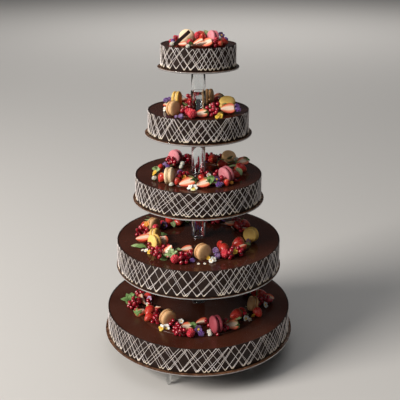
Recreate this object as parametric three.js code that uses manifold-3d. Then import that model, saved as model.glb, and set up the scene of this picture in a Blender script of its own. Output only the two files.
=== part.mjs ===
// A five-tier chocolate wedding cake on its clear stand, in millimetres, +Z up.
// The origin is on the table, under the middle of the stand.
// Tier 1 is the smallest and highest, tier 5 the widest and lowest.
import * as THREE from 'three';
import { mergeVertices } from 'three/addons/utils/BufferGeometryUtils.js';
import Module from 'manifold-3d';

const wasm = await Module();
wasm.setup();

// Driving dimensions
const gap = 0.3;
const plateThickness = 4;
const collarThickness = 2.5;
const collarRim = 1.5;
const edgeBevel = 2;
const roundSides = 32;
const tiers = [
  { radius: 100, overhang: 9, wall: 63, rise: 179.5 },
  { radius: 136.5, overhang: 9.5, wall: 67.5, rise: 186.5 },
  { radius: 175, overhang: 8, wall: 72, rise: 198 },
  { radius: 231, overhang: 4, wall: 79, rise: 202 },
  { radius: 264.5, overhang: 9.5, wall: 76, rise: 0 },
];
const foot = { count: 6, height: 62, ring: 231, firstAngle: 39.5, radius: 7, waist: 24, tip: 3, sides: 8 };
const tube = { radius: 19, bore: 16, flange: 21, flangeHeight: 5, sides: 12 };
const sleeve = { radius: 20.5, height: 50 };
const macaron = {
  radius: 21.5,
  half: 12.5,
  crown: 2,
  shoulder: 16.5,
  shell: 4,
  fillingRadius: 19.5,
  filling: 2.5,
  sides: 9,
};
const berry = { length: 36, radius: 14, sides: 8 };
// Outline of a strawberry from its stalk end to its tip, as shares of its radius and of its length
const berryOutline = [[0, -0.46], [0.62, -0.47], [1, -0.2], [0.82, 0.18], [0.4, 0.42], [0, 0.5]];

// Colours of the pieces
const looks = {
  acrylic: { color: 0xdfe6ea, roughness: 0.05, metalness: 0, transparent: true, opacity: 0.35 },
  glaze: { color: 0x2a130b, roughness: 0.15, metalness: 0 },
  collar: { color: 0x2b1710, roughness: 0.45, metalness: 0 },
  cream: { color: 0xe8cfa4, roughness: 0.7, metalness: 0 },
  yellow: { color: 0xe6bf5a, roughness: 0.7, metalness: 0 },
  pink: { color: 0xd97f8c, roughness: 0.7, metalness: 0 },
  beige: { color: 0xcfa97c, roughness: 0.7, metalness: 0 },
  strawberry: { color: 0xb9231c, roughness: 0.35, metalness: 0 },
  fruit: { color: 0x8c1220, roughness: 0.4, metalness: 0 },
};

// What stands on each tier. An angle runs from the front, to the right; a radius is a share of the tier's.
// "faces" is the way the piece's own axis looks, from the front to the right, and "tips" lifts that axis.
const macarons = [
  [
    { look: 'cream', angle: -46, radius: 0.4, faces: -15, tips: 10, size: 0.96 },
    { look: 'pink', angle: 41, radius: 0.57, faces: -62, tips: 6, size: 0.94 },
  ],
  [
    { look: 'yellow', angle: -116, radius: 0.48, faces: 75, tips: 2, size: 1 },
    { look: 'beige', angle: -37, radius: 0.79, faces: 50, tips: 8, size: 0.96 },
    { look: 'yellow', angle: 88, radius: 0.57, faces: 0, tips: 64, size: 1.02 },
    { look: 'beige', angle: 150, radius: 0.45, faces: 84, tips: 4, size: 1.04 },
  ],
  [
    { look: 'pink', angle: -141, radius: 0.6, faces: -38, tips: 6, size: 1 },
    { look: 'cream', angle: -39, radius: 0.69, faces: 78, tips: 4, size: 1.06 },
    { look: 'pink', angle: 41, radius: 0.64, faces: -52, tips: -10, size: 1.06 },
    { look: 'beige', angle: 136, radius: 0.72, faces: 15, tips: 56, size: 0.98 },
  ],
  [
    { look: 'beige', angle: -104, radius: 0.58, faces: 48, tips: 6, size: 1 },
    { look: 'yellow', angle: -70, radius: 0.555, faces: 70, tips: 12, size: 0.98 },
    { look: 'yellow', angle: -53, radius: 0.65, faces: -52, tips: 5, size: 1 },
    { look: 'beige', angle: 4, radius: 0.68, faces: 36, tips: 2, size: 1.06 },
    { look: 'yellow', angle: 75, radius: 0.66, faces: -36, tips: 6, size: 1 },
  ],
  [
    { look: 'beige', angle: -31, radius: 0.62, faces: 34, tips: -2, size: 1.08 },
    { look: 'pink', angle: 15, radius: 0.69, faces: -66, tips: 3, size: 1.12 },
    { look: 'beige', angle: 69, radius: 0.63, faces: -78, tips: 14, size: 1 },
  ],
];
// A strawberry's axis runs to its tip; a half has its flat side up.
const strawberries = [
  [
    { angle: 6, radius: 0.77, faces: -68, tips: -8, roll: 20, size: 0.95, half: true },
    { angle: 165, radius: 0.15, faces: -30, tips: 0, lift: 8, size: 0.85 },
  ],
  [
    { angle: 5, radius: 0.72, faces: -80, tips: -14, roll: 38, size: 0.95, half: true },
    { angle: 52, radius: 0.72, faces: -85, tips: -5, roll: 45, size: 1.08, half: true },
    { angle: 145, radius: 0.7, faces: -62, tips: -20, roll: 45, size: 1.05, half: true },
  ],
  [
    { angle: -14, radius: 0.68, faces: -76, tips: -16, roll: 22, size: 1.25, half: true },
    { angle: 6, radius: 0.7, faces: -74, tips: -18, roll: 25, size: 1.12, half: true },
  ],
  [
    { angle: -24, radius: 0.69, faces: -150, tips: -5, roll: 35, size: 1.05, half: true },
    { angle: 47, radius: 0.66, faces: -60, tips: -10, roll: -15, size: 1.1, half: true },
  ],
  [
    { angle: -64, radius: 0.7, faces: 150, tips: -8, roll: -10, size: 1.05, half: true },
    { angle: -11, radius: 0.64, faces: -84, tips: 0, roll: 26, size: 1, half: true },
    { angle: 30, radius: 0.7, faces: -82, tips: -5, roll: 40, size: 1.05, half: true },
  ],
];
// The heap of small fruit on each tier: a mound on the top tier, and rings that lie nearer the front below it.
const beds = [
  { mound: true, reach: 0.79, height: 17 },
  { middle: 0.6, towardsFront: 0.1, width: 52, height: 15 },
  { middle: 0.6, towardsFront: 0.09, width: 54, height: 15 },
  { middle: 0.61, towardsFront: 0.09, width: 56, height: 16 },
  { middle: 0.64, towardsFront: 0.06, width: 56, height: 16 },
];
const bedSides = 20;
const moundSides = 10;
const bedSwell = 0.2; // uneven share of the width
const bedRise = 0.35; // uneven share of the height
// Outlines of the heaps, as shares of their reach and height
const bedShoulder = { reach: 0.72, height: 0.8 };
const moundOutline = [[0, 0], [1, 0], [0.86, 0.55], [0.5, 1], [0, 1.15]];
// Waves that make a heap's outline uneven: their share, how many go round, and how far each seed turns them
const bedWaves = [
  { share: 0.55, count: 5, turned: 1.7 },
  { share: 0.3, count: 9, turned: 2.9 },
  { share: 0.15, count: 14, turned: 1 },
];
const riseSeed = 3; // the heap's height follows the waves of another seed
const drumSides = 8;

// Heights of the tiers, from the table up; a tier's rise is the step from the plate below it to its own
let reached = foot.height;
for (const tier of [...tiers].reverse()) {
  reached += tier.rise;
  tier.plateBottom = reached;
  tier.seat = reached + plateThickness + gap;
  tier.glaze = reached + tier.wall - collarRim;
}

const cake = new THREE.Group();

// Adds a named mesh with its own material
function add(name, geometry, look) {
  const mesh = new THREE.Mesh(geometry, new THREE.MeshStandardMaterial(looks[look]));
  mesh.name = name;
  cake.add(mesh);
  return mesh;
}

// Turns a profile of [radius, height] pairs about the Z axis
function turned(profile, sides) {
  const points = profile.map(([radius, height]) => new THREE.Vector2(radius, height));
  return new THREE.LatheGeometry(points, sides).rotateX(Math.PI / 2);
}

// A solid for joining and cutting, with the mesh's place baked in
function solidOf(mesh) {
  mesh.updateMatrixWorld(true);
  const geometry = mesh.geometry.clone().applyMatrix4(mesh.matrixWorld);
  geometry.deleteAttribute('normal');
  geometry.deleteAttribute('uv');
  const merged = mergeVertices(geometry, 1e-3);
  return new wasm.Manifold(new wasm.Mesh({
    numProp: 3,
    vertProperties: new Float32Array(merged.attributes.position.array),
    triVerts: new Uint32Array(merged.index.array),
  }));
}

// A geometry made from a cut solid
function geometryOf(solid) {
  const data = solid.getMesh();
  const geometry = new THREE.BufferGeometry();
  geometry.setAttribute('position', new THREE.BufferAttribute(data.vertProperties, 3));
  geometry.setIndex(new THREE.BufferAttribute(data.triVerts, 1));
  return geometry;
}

// Stands a mesh on a tier, with its own Z axis looking along "faces" and lifted by "tips" degrees.
// "roll" turns it about that axis, and it comes down until its lowest point is "lift" above the glaze.
function stand(mesh, tier, { angle, radius, faces, tips, roll = 0, lift = 0 }) {
  const turn = THREE.MathUtils.degToRad(angle);
  const distance = radius * tier.radius;
  mesh.position.set(distance * Math.sin(turn), -distance * Math.cos(turn), 0);
  mesh.rotation.order = 'ZYX';
  mesh.rotation.x = THREE.MathUtils.degToRad(90 - tips);
  mesh.rotation.y = THREE.MathUtils.degToRad(roll);
  mesh.rotation.z = THREE.MathUtils.degToRad(faces);
  mesh.updateMatrixWorld(true);
  const lowest = new THREE.Box3().setFromObject(mesh, true).min.z;
  mesh.position.z = tier.glaze + gap + lift - lowest;
}

// Clear round plate under one tier
function addPlate(number, tier) {
  const radius = tier.radius + tier.overhang;
  const plate = turned([[0, 0], [radius, 0], [radius, plateThickness], [0, plateThickness]], roundSides);
  add(`plate_${number}`, plate, 'acrylic').position.z = tier.plateBottom;
}

// The glazed cake itself, one solid with a softened top edge
function addCake(number, tier) {
  const radius = tier.radius - collarThickness - gap;
  const height = tier.glaze - tier.seat;
  const profile = [
    [0, 0],
    [radius, 0],
    [radius, height - edgeBevel],
    [radius - edgeBevel, height],
    [0, height],
  ];
  add(`cake_${number}`, turned(profile, roundSides), 'glaze').position.z = tier.seat;
}

// Chocolate band round the side, a little higher than the glaze
function addCollar(number, tier) {
  const inner = tier.radius - collarThickness;
  const height = tier.glaze + collarRim - tier.seat;
  const profile = [[inner, 0], [tier.radius, 0], [tier.radius, height], [inner, height], [inner, 0]];
  add(`collar_${number}`, turned(profile, roundSides), 'collar').position.z = tier.seat;
}

// Clear tube from the top of one tier to the plate above it, with a foot ring; the highest has a sleeve
function addTube(number, above, below) {
  const length = above.plateBottom - below.glaze - 2 * gap;
  const step = number === 1 ? [sleeve.radius, sleeve.height] : [tube.flange, tube.flangeHeight];
  const profile = [
    [tube.bore, 0],
    [step[0], 0],
    step,
    [tube.radius, step[1]],
    [tube.radius, length],
    [tube.bore, length],
    [tube.bore, 0],
  ];
  add(`tube_${number}`, turned(profile, tube.sides), 'acrylic').position.z = below.glaze + gap;
}

// Six short clear feet, tapered to a small flat end
function addFeet() {
  const profile = [
    [0, 0],
    [foot.tip, 0],
    [foot.radius, foot.waist],
    [foot.radius, foot.height - gap],
    [0, foot.height - gap],
  ];
  for (let i = 0; i < foot.count; i += 1) {
    const turn = THREE.MathUtils.degToRad(foot.firstAngle + (i * 360) / foot.count);
    const mesh = add(`foot_${i + 1}`, turned(profile, foot.sides), 'acrylic');
    mesh.position.set(foot.ring * Math.sin(turn), -foot.ring * Math.cos(turn), 0);
  }
}

// Two domed shells and the filling that shows between them
function macaronGeometry(size) {
  const { radius, half, crown, shoulder, shell, fillingRadius, filling } = macaron;
  const upper = [[fillingRadius, filling], [radius, shell], [shoulder, half - crown], [0, half]];
  const lower = upper.map(([r, z]) => [r, -z]).reverse();
  return turned([...lower, ...upper].map(([r, z]) => [r * size, z * size]), macaron.sides);
}

// A plump cone, its tip along +Z; a half is cut along its axis
function berryGeometry(size, half) {
  const { length, radius, sides } = berry;
  const profile = berryOutline.map(([r, z]) => [r * radius * size, z * length * size]);
  const whole = new THREE.Mesh(turned(profile, sides));
  if (!half) {
    return whole.geometry;
  }
  const block = new THREE.Mesh(new THREE.BoxGeometry(2 * length, 2 * length, 2 * length));
  block.position.y = length;
  return geometryOf(solidOf(whole).subtract(solidOf(block)));
}

// Plain drum that holds a piece of this radius and length, with room to spare, for cutting the heap back
function drum(radius, length) {
  const holding = (radius + 2 * gap) / Math.cos(Math.PI / drumSides);
  const reach = length / 2 + 2 * gap;
  return new THREE.Mesh(turned([[0, -reach], [holding, -reach], [holding, reach], [0, reach]], drumSides));
}

// Uneven but repeatable swelling round a ring, between -1 and 1
function unevenness(turn, seed) {
  return bedWaves.reduce((sum, wave) => sum + wave.share * Math.sin(wave.count * turn + wave.turned * seed), 0);
}

// Heap of small fruit, as a ring or a mound out to its uneven outline
function bedGeometry(tier, bed, seed) {
  const reach = bed.mound ? bed.reach * tier.radius : bed.width / 2;
  const flat = bed.mound ? 0 : bed.middle * tier.radius;
  const top = bed.height;
  const ring = [
    [flat - reach, 0],
    [flat + reach, 0],
    [flat + bedShoulder.reach * reach, bedShoulder.height * top],
    [flat, top],
    [flat - bedShoulder.reach * reach, bedShoulder.height * top],
    [flat - reach, 0],
  ];
  const mound = moundOutline.map(([r, z]) => [r * reach, z * top]);
  const geometry = bed.mound ? turned(mound, moundSides) : turned(ring, bedSides);
  const place = geometry.attributes.position;
  for (let i = 0; i < place.count; i += 1) {
    const x = place.getX(i);
    const y = place.getY(i);
    const distance = Math.hypot(x, y);
    if (distance > gap) {
      const turn = Math.atan2(x, -y);
      const shift = bed.mound ? 0 : bed.towardsFront * tier.radius * Math.cos(turn);
      const swell = 1 + bedSwell * unevenness(turn, seed);
      const wider = flat + (distance - flat) * swell + shift;
      place.setXY(i, (x / distance) * wider, (y / distance) * wider);
      place.setZ(i, place.getZ(i) * (1 + bedRise * unevenness(turn, seed + riseSeed)));
    }
  }
  return geometry;
}

// Fruit, macarons and heap of one tier; the heap is cut back from what stands in it, and crumbs are dropped
function addToppings(number, tier) {
  const cutters = [];
  const addPiece = (name, look, geometry, cutter, place) => {
    const mesh = add(name, geometry, look);
    stand(mesh, tier, place);
    cutter.position.copy(mesh.position);
    cutter.rotation.copy(mesh.rotation);
    cutters.push(cutter);
  };
  macarons[number - 1].forEach((piece, i) => {
    const cutter = drum(macaron.radius * piece.size, 2 * macaron.half * piece.size);
    addPiece(`macaron_${number}_${i + 1}`, piece.look, macaronGeometry(piece.size), cutter, piece);
  });
  strawberries[number - 1].forEach((piece, i) => {
    const geometry = berryGeometry(piece.size, piece.half);
    const cutter = drum(berry.radius * piece.size, berry.length * piece.size);
    addPiece(`strawberry_${number}_${i + 1}`, 'strawberry', geometry, cutter, piece);
  });
  const whole = new THREE.Mesh(bedGeometry(tier, beds[number - 1], number));
  whole.position.z = tier.glaze + gap;
  const cut = cutters.reduce((left, cutter) => left.subtract(solidOf(cutter)), solidOf(whole));
  const largest = cut.decompose().reduce((best, body) => (body.volume() > best.volume() ? body : best));
  add(`fruit_heap_${number}`, geometryOf(largest), 'fruit');
}

tiers.forEach((tier, i) => {
  addPlate(i + 1, tier);
  addCake(i + 1, tier);
  addCollar(i + 1, tier);
  if (i + 1 < tiers.length) {
    addTube(i + 1, tier, tiers[i + 1]);
  }
  addToppings(i + 1, tier);
});
addFeet();

export default cake;
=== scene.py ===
import bpy
import math
import random
import numpy as np
from mathutils import Matrix, Vector
from mathutils.bvhtree import BVHTree


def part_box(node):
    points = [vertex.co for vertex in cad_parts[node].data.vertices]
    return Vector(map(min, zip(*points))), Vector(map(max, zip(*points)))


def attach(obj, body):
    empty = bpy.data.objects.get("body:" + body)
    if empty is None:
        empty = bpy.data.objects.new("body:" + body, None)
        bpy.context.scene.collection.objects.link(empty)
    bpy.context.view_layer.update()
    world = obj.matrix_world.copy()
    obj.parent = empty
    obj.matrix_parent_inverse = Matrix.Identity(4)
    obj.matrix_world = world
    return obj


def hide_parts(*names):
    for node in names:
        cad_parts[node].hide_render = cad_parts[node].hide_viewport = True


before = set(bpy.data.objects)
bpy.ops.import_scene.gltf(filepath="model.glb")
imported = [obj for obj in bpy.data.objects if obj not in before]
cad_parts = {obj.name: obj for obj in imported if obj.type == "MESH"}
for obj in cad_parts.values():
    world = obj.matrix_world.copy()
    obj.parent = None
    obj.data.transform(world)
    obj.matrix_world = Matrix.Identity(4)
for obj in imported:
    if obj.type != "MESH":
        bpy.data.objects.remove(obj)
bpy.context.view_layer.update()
mm = 0.001


# Picking, editing and finishing pieces

def dropSelection():
    active = bpy.context.view_layer.objects.active
    if active and active.mode != "OBJECT":
        bpy.ops.object.mode_set(mode="OBJECT")
    bpy.ops.object.select_all(action="DESELECT")


def pick(*pieces):
    dropSelection()
    for piece in pieces:
        piece.select_set(True)
    bpy.context.view_layer.objects.active = pieces[0]


def editParts(piece, kind, test):  # goes into edit mode with only the parts that pass the test selected
    pick(piece)
    bpy.context.scene.tool_settings.mesh_select_mode = (kind == "VERT", kind == "EDGE", kind == "FACE")
    mesh = piece.data
    for part in (*mesh.vertices, *mesh.edges, *mesh.polygons):
        part.select = False
    if kind == "VERT":
        for vertex in mesh.vertices:
            vertex.select = test(vertex.co)
    elif kind == "EDGE":
        for edge in mesh.edges:
            first, second = (mesh.vertices[i].co for i in edge.vertices)
            edge.select = test(first, second)
    else:
        for face in mesh.polygons:
            face.select = test(face.center, face.normal)
    bpy.ops.object.mode_set(mode="EDIT")


def leaveEdit():
    bpy.ops.object.mode_set(mode="OBJECT")


def applyPlace(piece):
    pick(piece)
    bpy.ops.object.transform_apply(location=True, rotation=True, scale=True)


def addNew(kind, **settings):  # a new primitive, with its place in its mesh
    getattr(bpy.ops.mesh, f"primitive_{kind}_add")(**settings)
    piece = bpy.context.object
    applyPlace(piece)
    return piece


def addColumn(sides, radius, bottom, top, place=(0, 0), **settings):  # an upright cylinder between heights
    middle = (*place, (bottom + top) / 2)
    return addNew("cylinder", vertices=sides, radius=radius, depth=top - bottom, location=middle, **settings)


def movePoints(piece, test, value):
    editParts(piece, "VERT", test)
    bpy.ops.transform.translate(value=value)
    leaveEdit()


def editFaces(piece):
    editParts(piece, "FACE", lambda centre, normal: True)


def faceOutwards(piece):
    editFaces(piece)
    bpy.ops.mesh.normals_make_consistent(inside=False)
    leaveEdit()


def roundEdges(piece, width):
    useModifier(piece, "BEVEL", width=width, segments=2, limit_method="ANGLE", angle_limit=0.8)


def useModifier(piece, kind, **settings):
    modifier = piece.modifiers.new(kind, kind)
    for name, value in settings.items():
        setattr(modifier, name, value)
    pick(piece)
    bpy.ops.object.modifier_apply(modifier=modifier.name)


def shadeSmooth(piece, angle=None):
    pick(piece)
    if angle is None:
        bpy.ops.object.shade_smooth()
    else:
        bpy.ops.object.shade_smooth_by_angle(angle=math.radians(angle))


def joinAll(pieces, name=None):
    pick(*pieces)
    if len(pieces) > 1:
        bpy.ops.object.join()
    if name:
        pieces[0].name = name
    return pieces[0]


def copyOf(template, place):
    copy = template.copy()
    copy.data = template.data.copy()
    copy.data.transform(place)
    bpy.context.scene.collection.objects.link(copy)
    return copy


def keepOwnPlace(piece, origin=Vector((0, 0, 0))):  # stores each point's own place, for the piece's material
    attribute = piece.data.attributes.new("ownPlace", "FLOAT_VECTOR", "POINT")
    for i, vertex in enumerate(piece.data.vertices):
        attribute.data[i].vector = vertex.co - origin


def useLooks(piece, *looks):
    for look in looks:
        piece.data.materials.append(look)


def asModel(piece, name, *looks, angle=None):  # readies a model that copies are laid of
    useLooks(piece, *looks)
    shadeSmooth(piece, angle)
    keepOwnPlace(piece)
    piece.name = name
    return piece


def finish(piece, name, finishes=(), replaced=()):
    piece.name = name
    if finishes:
        piece.data.materials.clear()
        useLooks(piece, *finishes)
    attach(piece, "root")
    if replaced:
        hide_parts(*replaced)
    return piece


# Shader maths: a wrapped socket, so that materials are written as expressions

class Wire:
    def __init__(self, tree, output=None):
        self.tree = tree
        self.output = output

    def node(self, kind, settings=None, sockets=None, output=0):
        made = self.tree.nodes.new("ShaderNode" + kind)
        for name, value in (settings or {}).items():
            if name == "stops":
                ramp = made.color_ramp
                while len(ramp.elements) < len(value):
                    ramp.elements.new(0.5)
                for element, (place, colour) in zip(ramp.elements, value):
                    element.position = place
                    element.color = (*colour, 1)
            else:
                setattr(made, name, value)
        for name, value in (sockets or {}).items():
            if isinstance(value, Wire):
                self.tree.links.new(value.output, made.inputs[name])
            else:
                made.inputs[name].default_value = value
        return Wire(self.tree, made.outputs[output])

    def maths(self, operation, first, second=0.0):
        return self.node("Math", {"operation": operation}, {0: first, 1: second})

    def __add__(self, other):
        return self.maths("ADD", self, other)

    def __radd__(self, other):
        return self.maths("ADD", other, self)

    def __sub__(self, other):
        return self.maths("SUBTRACT", self, other)

    def __rsub__(self, other):
        return self.maths("SUBTRACT", other, self)

    def __mul__(self, other):
        return self.maths("MULTIPLY", self, other)

    def __rmul__(self, other):
        return self.maths("MULTIPLY", other, self)

    def __truediv__(self, other):
        return self.maths("DIVIDE", self, other)

    def __pow__(self, other):
        return self.maths("POWER", self, other)

    def atLeast(self, other):
        return self.maths("MAXIMUM", self, other)

    def size(self):
        return self.maths("ABSOLUTE", self)

    def wave(self):
        return self.maths("SINE", self)

    def smooth(self, low, high):  # 0 below low, 1 above high
        sockets = {"Value": self, "From Min": low, "From Max": high}
        return self.node("MapRange", {"interpolation_type": "SMOOTHSTEP"}, sockets)

    def blend(self, first, second):  # first colour where this is 0, second where it is 1
        sockets = {0: self, 6: first, 7: second}
        return self.node("Mix", {"data_type": "RGBA"}, sockets, 2)

    def objectPlace(self):
        return self.node("TexCoord", output="Object")

    def ownPlace(self):
        return self.node("Attribute", {"attribute_name": "ownPlace"}, output="Vector")

    def noise(self, vector, scale, detail=2.0, roughness=0.5):
        sockets = {"Vector": vector, "Scale": scale, "Detail": detail, "Roughness": roughness}
        return self.node("TexNoise", sockets=sockets)

    def axis(self, number):
        return self.node("SeparateXYZ", sockets={0: self}, output=number)

    def fromAxis(self):  # distance from the Z axis
        return (self.axis(0) * self.axis(0) + self.axis(1) * self.axis(1)) ** 0.5


def colour(red, green, blue):  # a screen colour, as a painter would pick it, made linear for a shader
    def linear(part):
        return part / 12.92 if part <= 0.04045 else ((part + 0.055) / 1.055) ** 2.4
    return tuple(linear(part / 255) for part in (red, green, blue)) + (1,)


def makeFinish(name, build, **fixed):  # build returns the links for the shader; fixed values are set on it
    material = bpy.data.materials.new(name)
    material.use_nodes = True
    tree = material.node_tree
    shader = tree.nodes["Principled BSDF"]
    for socket, value in fixed.items():
        shader.inputs[socket].default_value = value
    for socket, wire in build(Wire(tree)).items():
        if isinstance(wire, Wire):
            tree.links.new(wire.output, shader.inputs[socket])
        else:
            shader.inputs[socket].default_value = wire
    return material


def bumpFrom(wire, height, distance, strength=1.0):
    sockets = {"Height": height, "Distance": distance, "Strength": strength}
    return wire.node("Bump", sockets=sockets)


# Camera, floor and lights

view = {
    "place": (0, -1.825, 1.130),
    "pitch": 17.07,
    "yaw": 0.14,
    "lens": 62.04,
    "shiftDown": 0.1,
}


def setCamera():
    bpy.ops.object.camera_add(location=view["place"])
    camera = bpy.context.object
    camera.rotation_euler = (math.radians(90 - view["pitch"]), 0, math.radians(-view["yaw"]))
    camera.data.lens = view["lens"]
    camera.data.sensor_width = 36
    camera.data.shift_y = -view["shiftDown"]
    camera.data.clip_end = 100
    bpy.context.scene.camera = camera


studio = {
    "floorSize": 90,
    "floorColour": colour(206, 203, 199),
    "world": (0.92, 0.96, 1.0, 1),
    "worldStrength": 0.05,
    "key": {"place": (-4.3, -2.2, 3.3), "size": 2.6, "power": 430, "colour": (1.0, 0.96, 0.91)},
    "over": {"place": (0, 0, 7.5), "size": 9.0, "power": 190, "colour": (0.97, 0.98, 1.0)},
    "back": {"place": (0.5, 8.0, 6.0), "size": 5.0, "power": 330, "colour": (1.0, 0.98, 0.96)},
    "backAim": (0.5, 12, 0),
    "aim": (0, 0, 0.45),
}


def addLight(name, aim, place, size, power, colour):
    bpy.ops.object.light_add(type="AREA", location=place)
    light = bpy.context.object
    light.name = name
    light.data.shape = "SQUARE"
    light.data.size = size
    light.data.energy = power
    light.data.color = colour
    toAim = Vector(aim) - Vector(place)
    light.rotation_euler = toAim.to_track_quat("-Z", "Y").to_euler()


def setStudio():
    world = bpy.data.worlds.new("studio")
    world.use_nodes = True
    world.node_tree.nodes["Background"].inputs["Color"].default_value = studio["world"]
    world.node_tree.nodes["Background"].inputs["Strength"].default_value = studio["worldStrength"]
    bpy.context.scene.world = world
    addLight("keyLight", studio["aim"], **studio["key"])
    addLight("overheadLight", studio["aim"], **studio["over"])
    addLight("backdropLight", studio["backAim"], **studio["back"])
    bpy.ops.mesh.primitive_plane_add(size=studio["floorSize"])
    floor = bpy.context.object
    floor.name = "floor"
    paint = {"Base Color": studio["floorColour"], "Roughness": 0.9}
    floor.data.materials.append(makeFinish("paleFloor", lambda wire: paint))
    bpy.context.scene.view_settings.view_transform = "Standard"


dropSelection()
setCamera()
setStudio()
print("stage: camera, lights and floor are set")


# Finishes of the cakes and their stand

def acrylicLook(wire):
    place = wire.objectPlace()
    haze = wire.noise(place, 60).smooth(0.45, 0.75)
    return {"Base Color": (0.97, 0.985, 0.99, 1), "Roughness": 0.005 + 0.02 * haze}


def glazeLook(wire):
    place = wire.objectPlace()
    cloud = wire.noise(place, 9, 3).smooth(0.3, 0.7)
    ripple = wire.noise(place, 14, 1)
    pores = wire.noise(place, 420, 2).smooth(0.66, 0.72)
    return {
        "Base Color": cloud.blend((0.048, 0.0135, 0.0075, 1), (0.066, 0.0195, 0.011, 1)),
        "Roughness": 0.10 + 0.08 * cloud + 0.2 * pores,
        "Normal": bumpFrom(wire, ripple + 0.02 * pores, 0.006, 0.35),
    }


def bandLook(wire):
    place = wire.objectPlace()
    bloom = wire.noise(place, 35, 4, 0.6).smooth(0.35, 0.75)
    grain = wire.noise(place, 900, 3)
    return {
        "Base Color": bloom.blend((0.016, 0.0078, 0.0058, 1), (0.026, 0.014, 0.0105, 1)),
        "Roughness": 0.45 + 0.2 * bloom,
        "Normal": bumpFrom(wire, bloom + 0.3 * grain, 0.0006, 0.5),
    }


def pipedLook(wire):
    place = wire.objectPlace()
    streak = wire.noise(place, 70, 3, 0.6).smooth(0.3, 0.75)
    low = 1 - (wire.ownPlace().axis(2) * 1000).smooth(3, 11)  # painted warm highlight: creamier at the turns near the plate
    return {
        "Base Color": (0.35 * streak + 0.65 * low).blend(colour(229, 220, 220), colour(230, 211, 174)),
        "Roughness": 0.38 + 0.15 * streak,
        "Normal": bumpFrom(wire, wire.noise(place, 500, 2), 0.0004, 0.5),
    }


def sawnEdgeLook(wire):
    grain = wire.noise(wire.objectPlace(), 700, 2).smooth(0.3, 0.7)
    grey = grain.blend((0.46, 0.43, 0.42, 1), (0.36, 0.33, 0.32, 1))
    return {"Base Color": grey, "Roughness": 0.3 + 0.2 * grain}


def paintedReflectionLook(wire):  # painted reflection: the brown of the band as seen in the clear plate round it, painted as an opaque brown film on the plate top
    reflectionMottle = wire.noise(wire.objectPlace(), 60, 3, 0.6).smooth(0.35, 0.7)
    brown = reflectionMottle.blend((0.060, 0.026, 0.014, 1), (0.17, 0.078, 0.040, 1))
    return {"Base Color": brown, "Roughness": 0.12 + 0.2 * reflectionMottle}


acrylic = makeFinish("clearAcrylic", acrylicLook, **{"Transmission Weight": 1.0, "IOR": 1.49})
sawnAcrylic = makeFinish("sawnAcrylicEdge", sawnEdgeLook, **{"Transmission Weight": 0.0, "IOR": 1.49})
# the plate top round the band gets a painted brown reflection of the band
paintedPlateReflection = makeFinish("paintedPlateReflection", paintedReflectionLook)
glaze = makeFinish("mirrorGlaze", glazeLook, **{"Specular IOR Level": 0.2})
darkBand = makeFinish("bandChocolate", bandLook, **{"Specular IOR Level": 0.16})
pipedWhite = makeFinish("pipedWhiteChocolate", pipedLook)


# The tiers, read from the frame: tier 1 is the highest

def readTier(number):
    plateLow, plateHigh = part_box(f"plate_{number}")
    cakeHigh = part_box(f"cake_{number}")[1]
    collarLow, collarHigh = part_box(f"collar_{number}")
    return {
        "number": number,
        "plateRadius": plateHigh.x,
        "plateBottom": plateLow.z,
        "plateTop": plateHigh.z,
        "innerRadius": cakeHigh.x,
        "glaze": cakeHigh.z,
        "radius": collarHigh.x,
        "bandBottom": collarLow.z,
        "rim": collarHigh.z,
    }


tiers = [readTier(number) for number in range(1, 6)]

plateShape = {"sides": 160, "edge": 0.5 * mm, "underEdge": 1.6 * mm, "near": 0.1 * mm}


def makePlate(tier):
    middle = (tier["plateTop"] + tier["plateBottom"]) / 2
    radius = tier["plateRadius"]
    plate = addColumn(plateShape["sides"], radius, tier["plateBottom"], tier["plateTop"])
    editParts(plate, "EDGE", lambda first, second: max(first.z, second.z) < middle)
    bpy.ops.mesh.bevel(offset=plateShape["underEdge"], segments=2, affect="EDGES")
    leaveEdit()
    nearTop = tier["plateTop"] - plateShape["near"]
    editParts(plate, "EDGE", lambda first, second: min(first.z, second.z) > nearTop)
    bpy.ops.mesh.bevel(offset=plateShape["edge"], segments=2, affect="EDGES")
    leaveEdit()
    editParts(plate, "FACE", lambda centre, normal: normal.z > 0.9 and math.hypot(centre.x, centre.y) < mm)
    bpy.ops.mesh.inset(thickness=radius - plateShape["edge"] - tier["radius"])
    leaveEdit()
    useLooks(plate, acrylic, sawnAcrylic, paintedPlateReflection)
    # faces: the plate top round the band gets the painted brown reflection, the rim the sawn edge, the rest
    # clear acrylic
    for face in plate.data.polygons:
        reflectionRing = face.normal.z > 0.9 and math.hypot(face.center.x, face.center.y) > tier["radius"] - mm
        face.material_index = 2 if reflectionRing else int(abs(face.normal.z) < 0.3)
    shadeSmooth(plate, 40)
    finish(plate, f"clearPlate_{tier['number']}", (), [f"plate_{tier['number']}"])


cakeShape = {
    "sides": 160,
    "climb": 0.7 * mm,
    "climbRing": 1 * mm,
    "climbDrops": [0.4675, 0.2475, 0.11],
    "rings": 5,
    "intoBand": 0.5 * mm,
    "overPlate": 0.1 * mm,
}


def makeCake(tier):
    bottom = tier["plateTop"] + cakeShape["overPlate"]
    radius = tier["innerRadius"] + cakeShape["intoBand"]
    cake = addColumn(cakeShape["sides"], radius, bottom, tier["glaze"])
    editParts(cake, "FACE", lambda centre, normal: normal.z > 0.9)
    bpy.ops.transform.translate(value=(0, 0, cakeShape["climb"]))
    for drop in cakeShape["climbDrops"]:  # the glaze climbs a little where it meets the band
        bpy.ops.mesh.inset(thickness=cakeShape["climbRing"])
        bpy.ops.transform.translate(value=(0, 0, -drop * cakeShape["climb"]))
    for step in range(cakeShape["rings"]):
        bpy.ops.mesh.inset(thickness=radius / (cakeShape["rings"] + 1))
    leaveEdit()
    shadeSmooth(cake, 50)
    finish(cake, f"glazedCake_{tier['number']}", [glaze], [f"cake_{tier['number']}"])


bandShape = {"sides": 192, "edge": 0.7 * mm, "unevenRim": 0.35 * mm}


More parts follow.
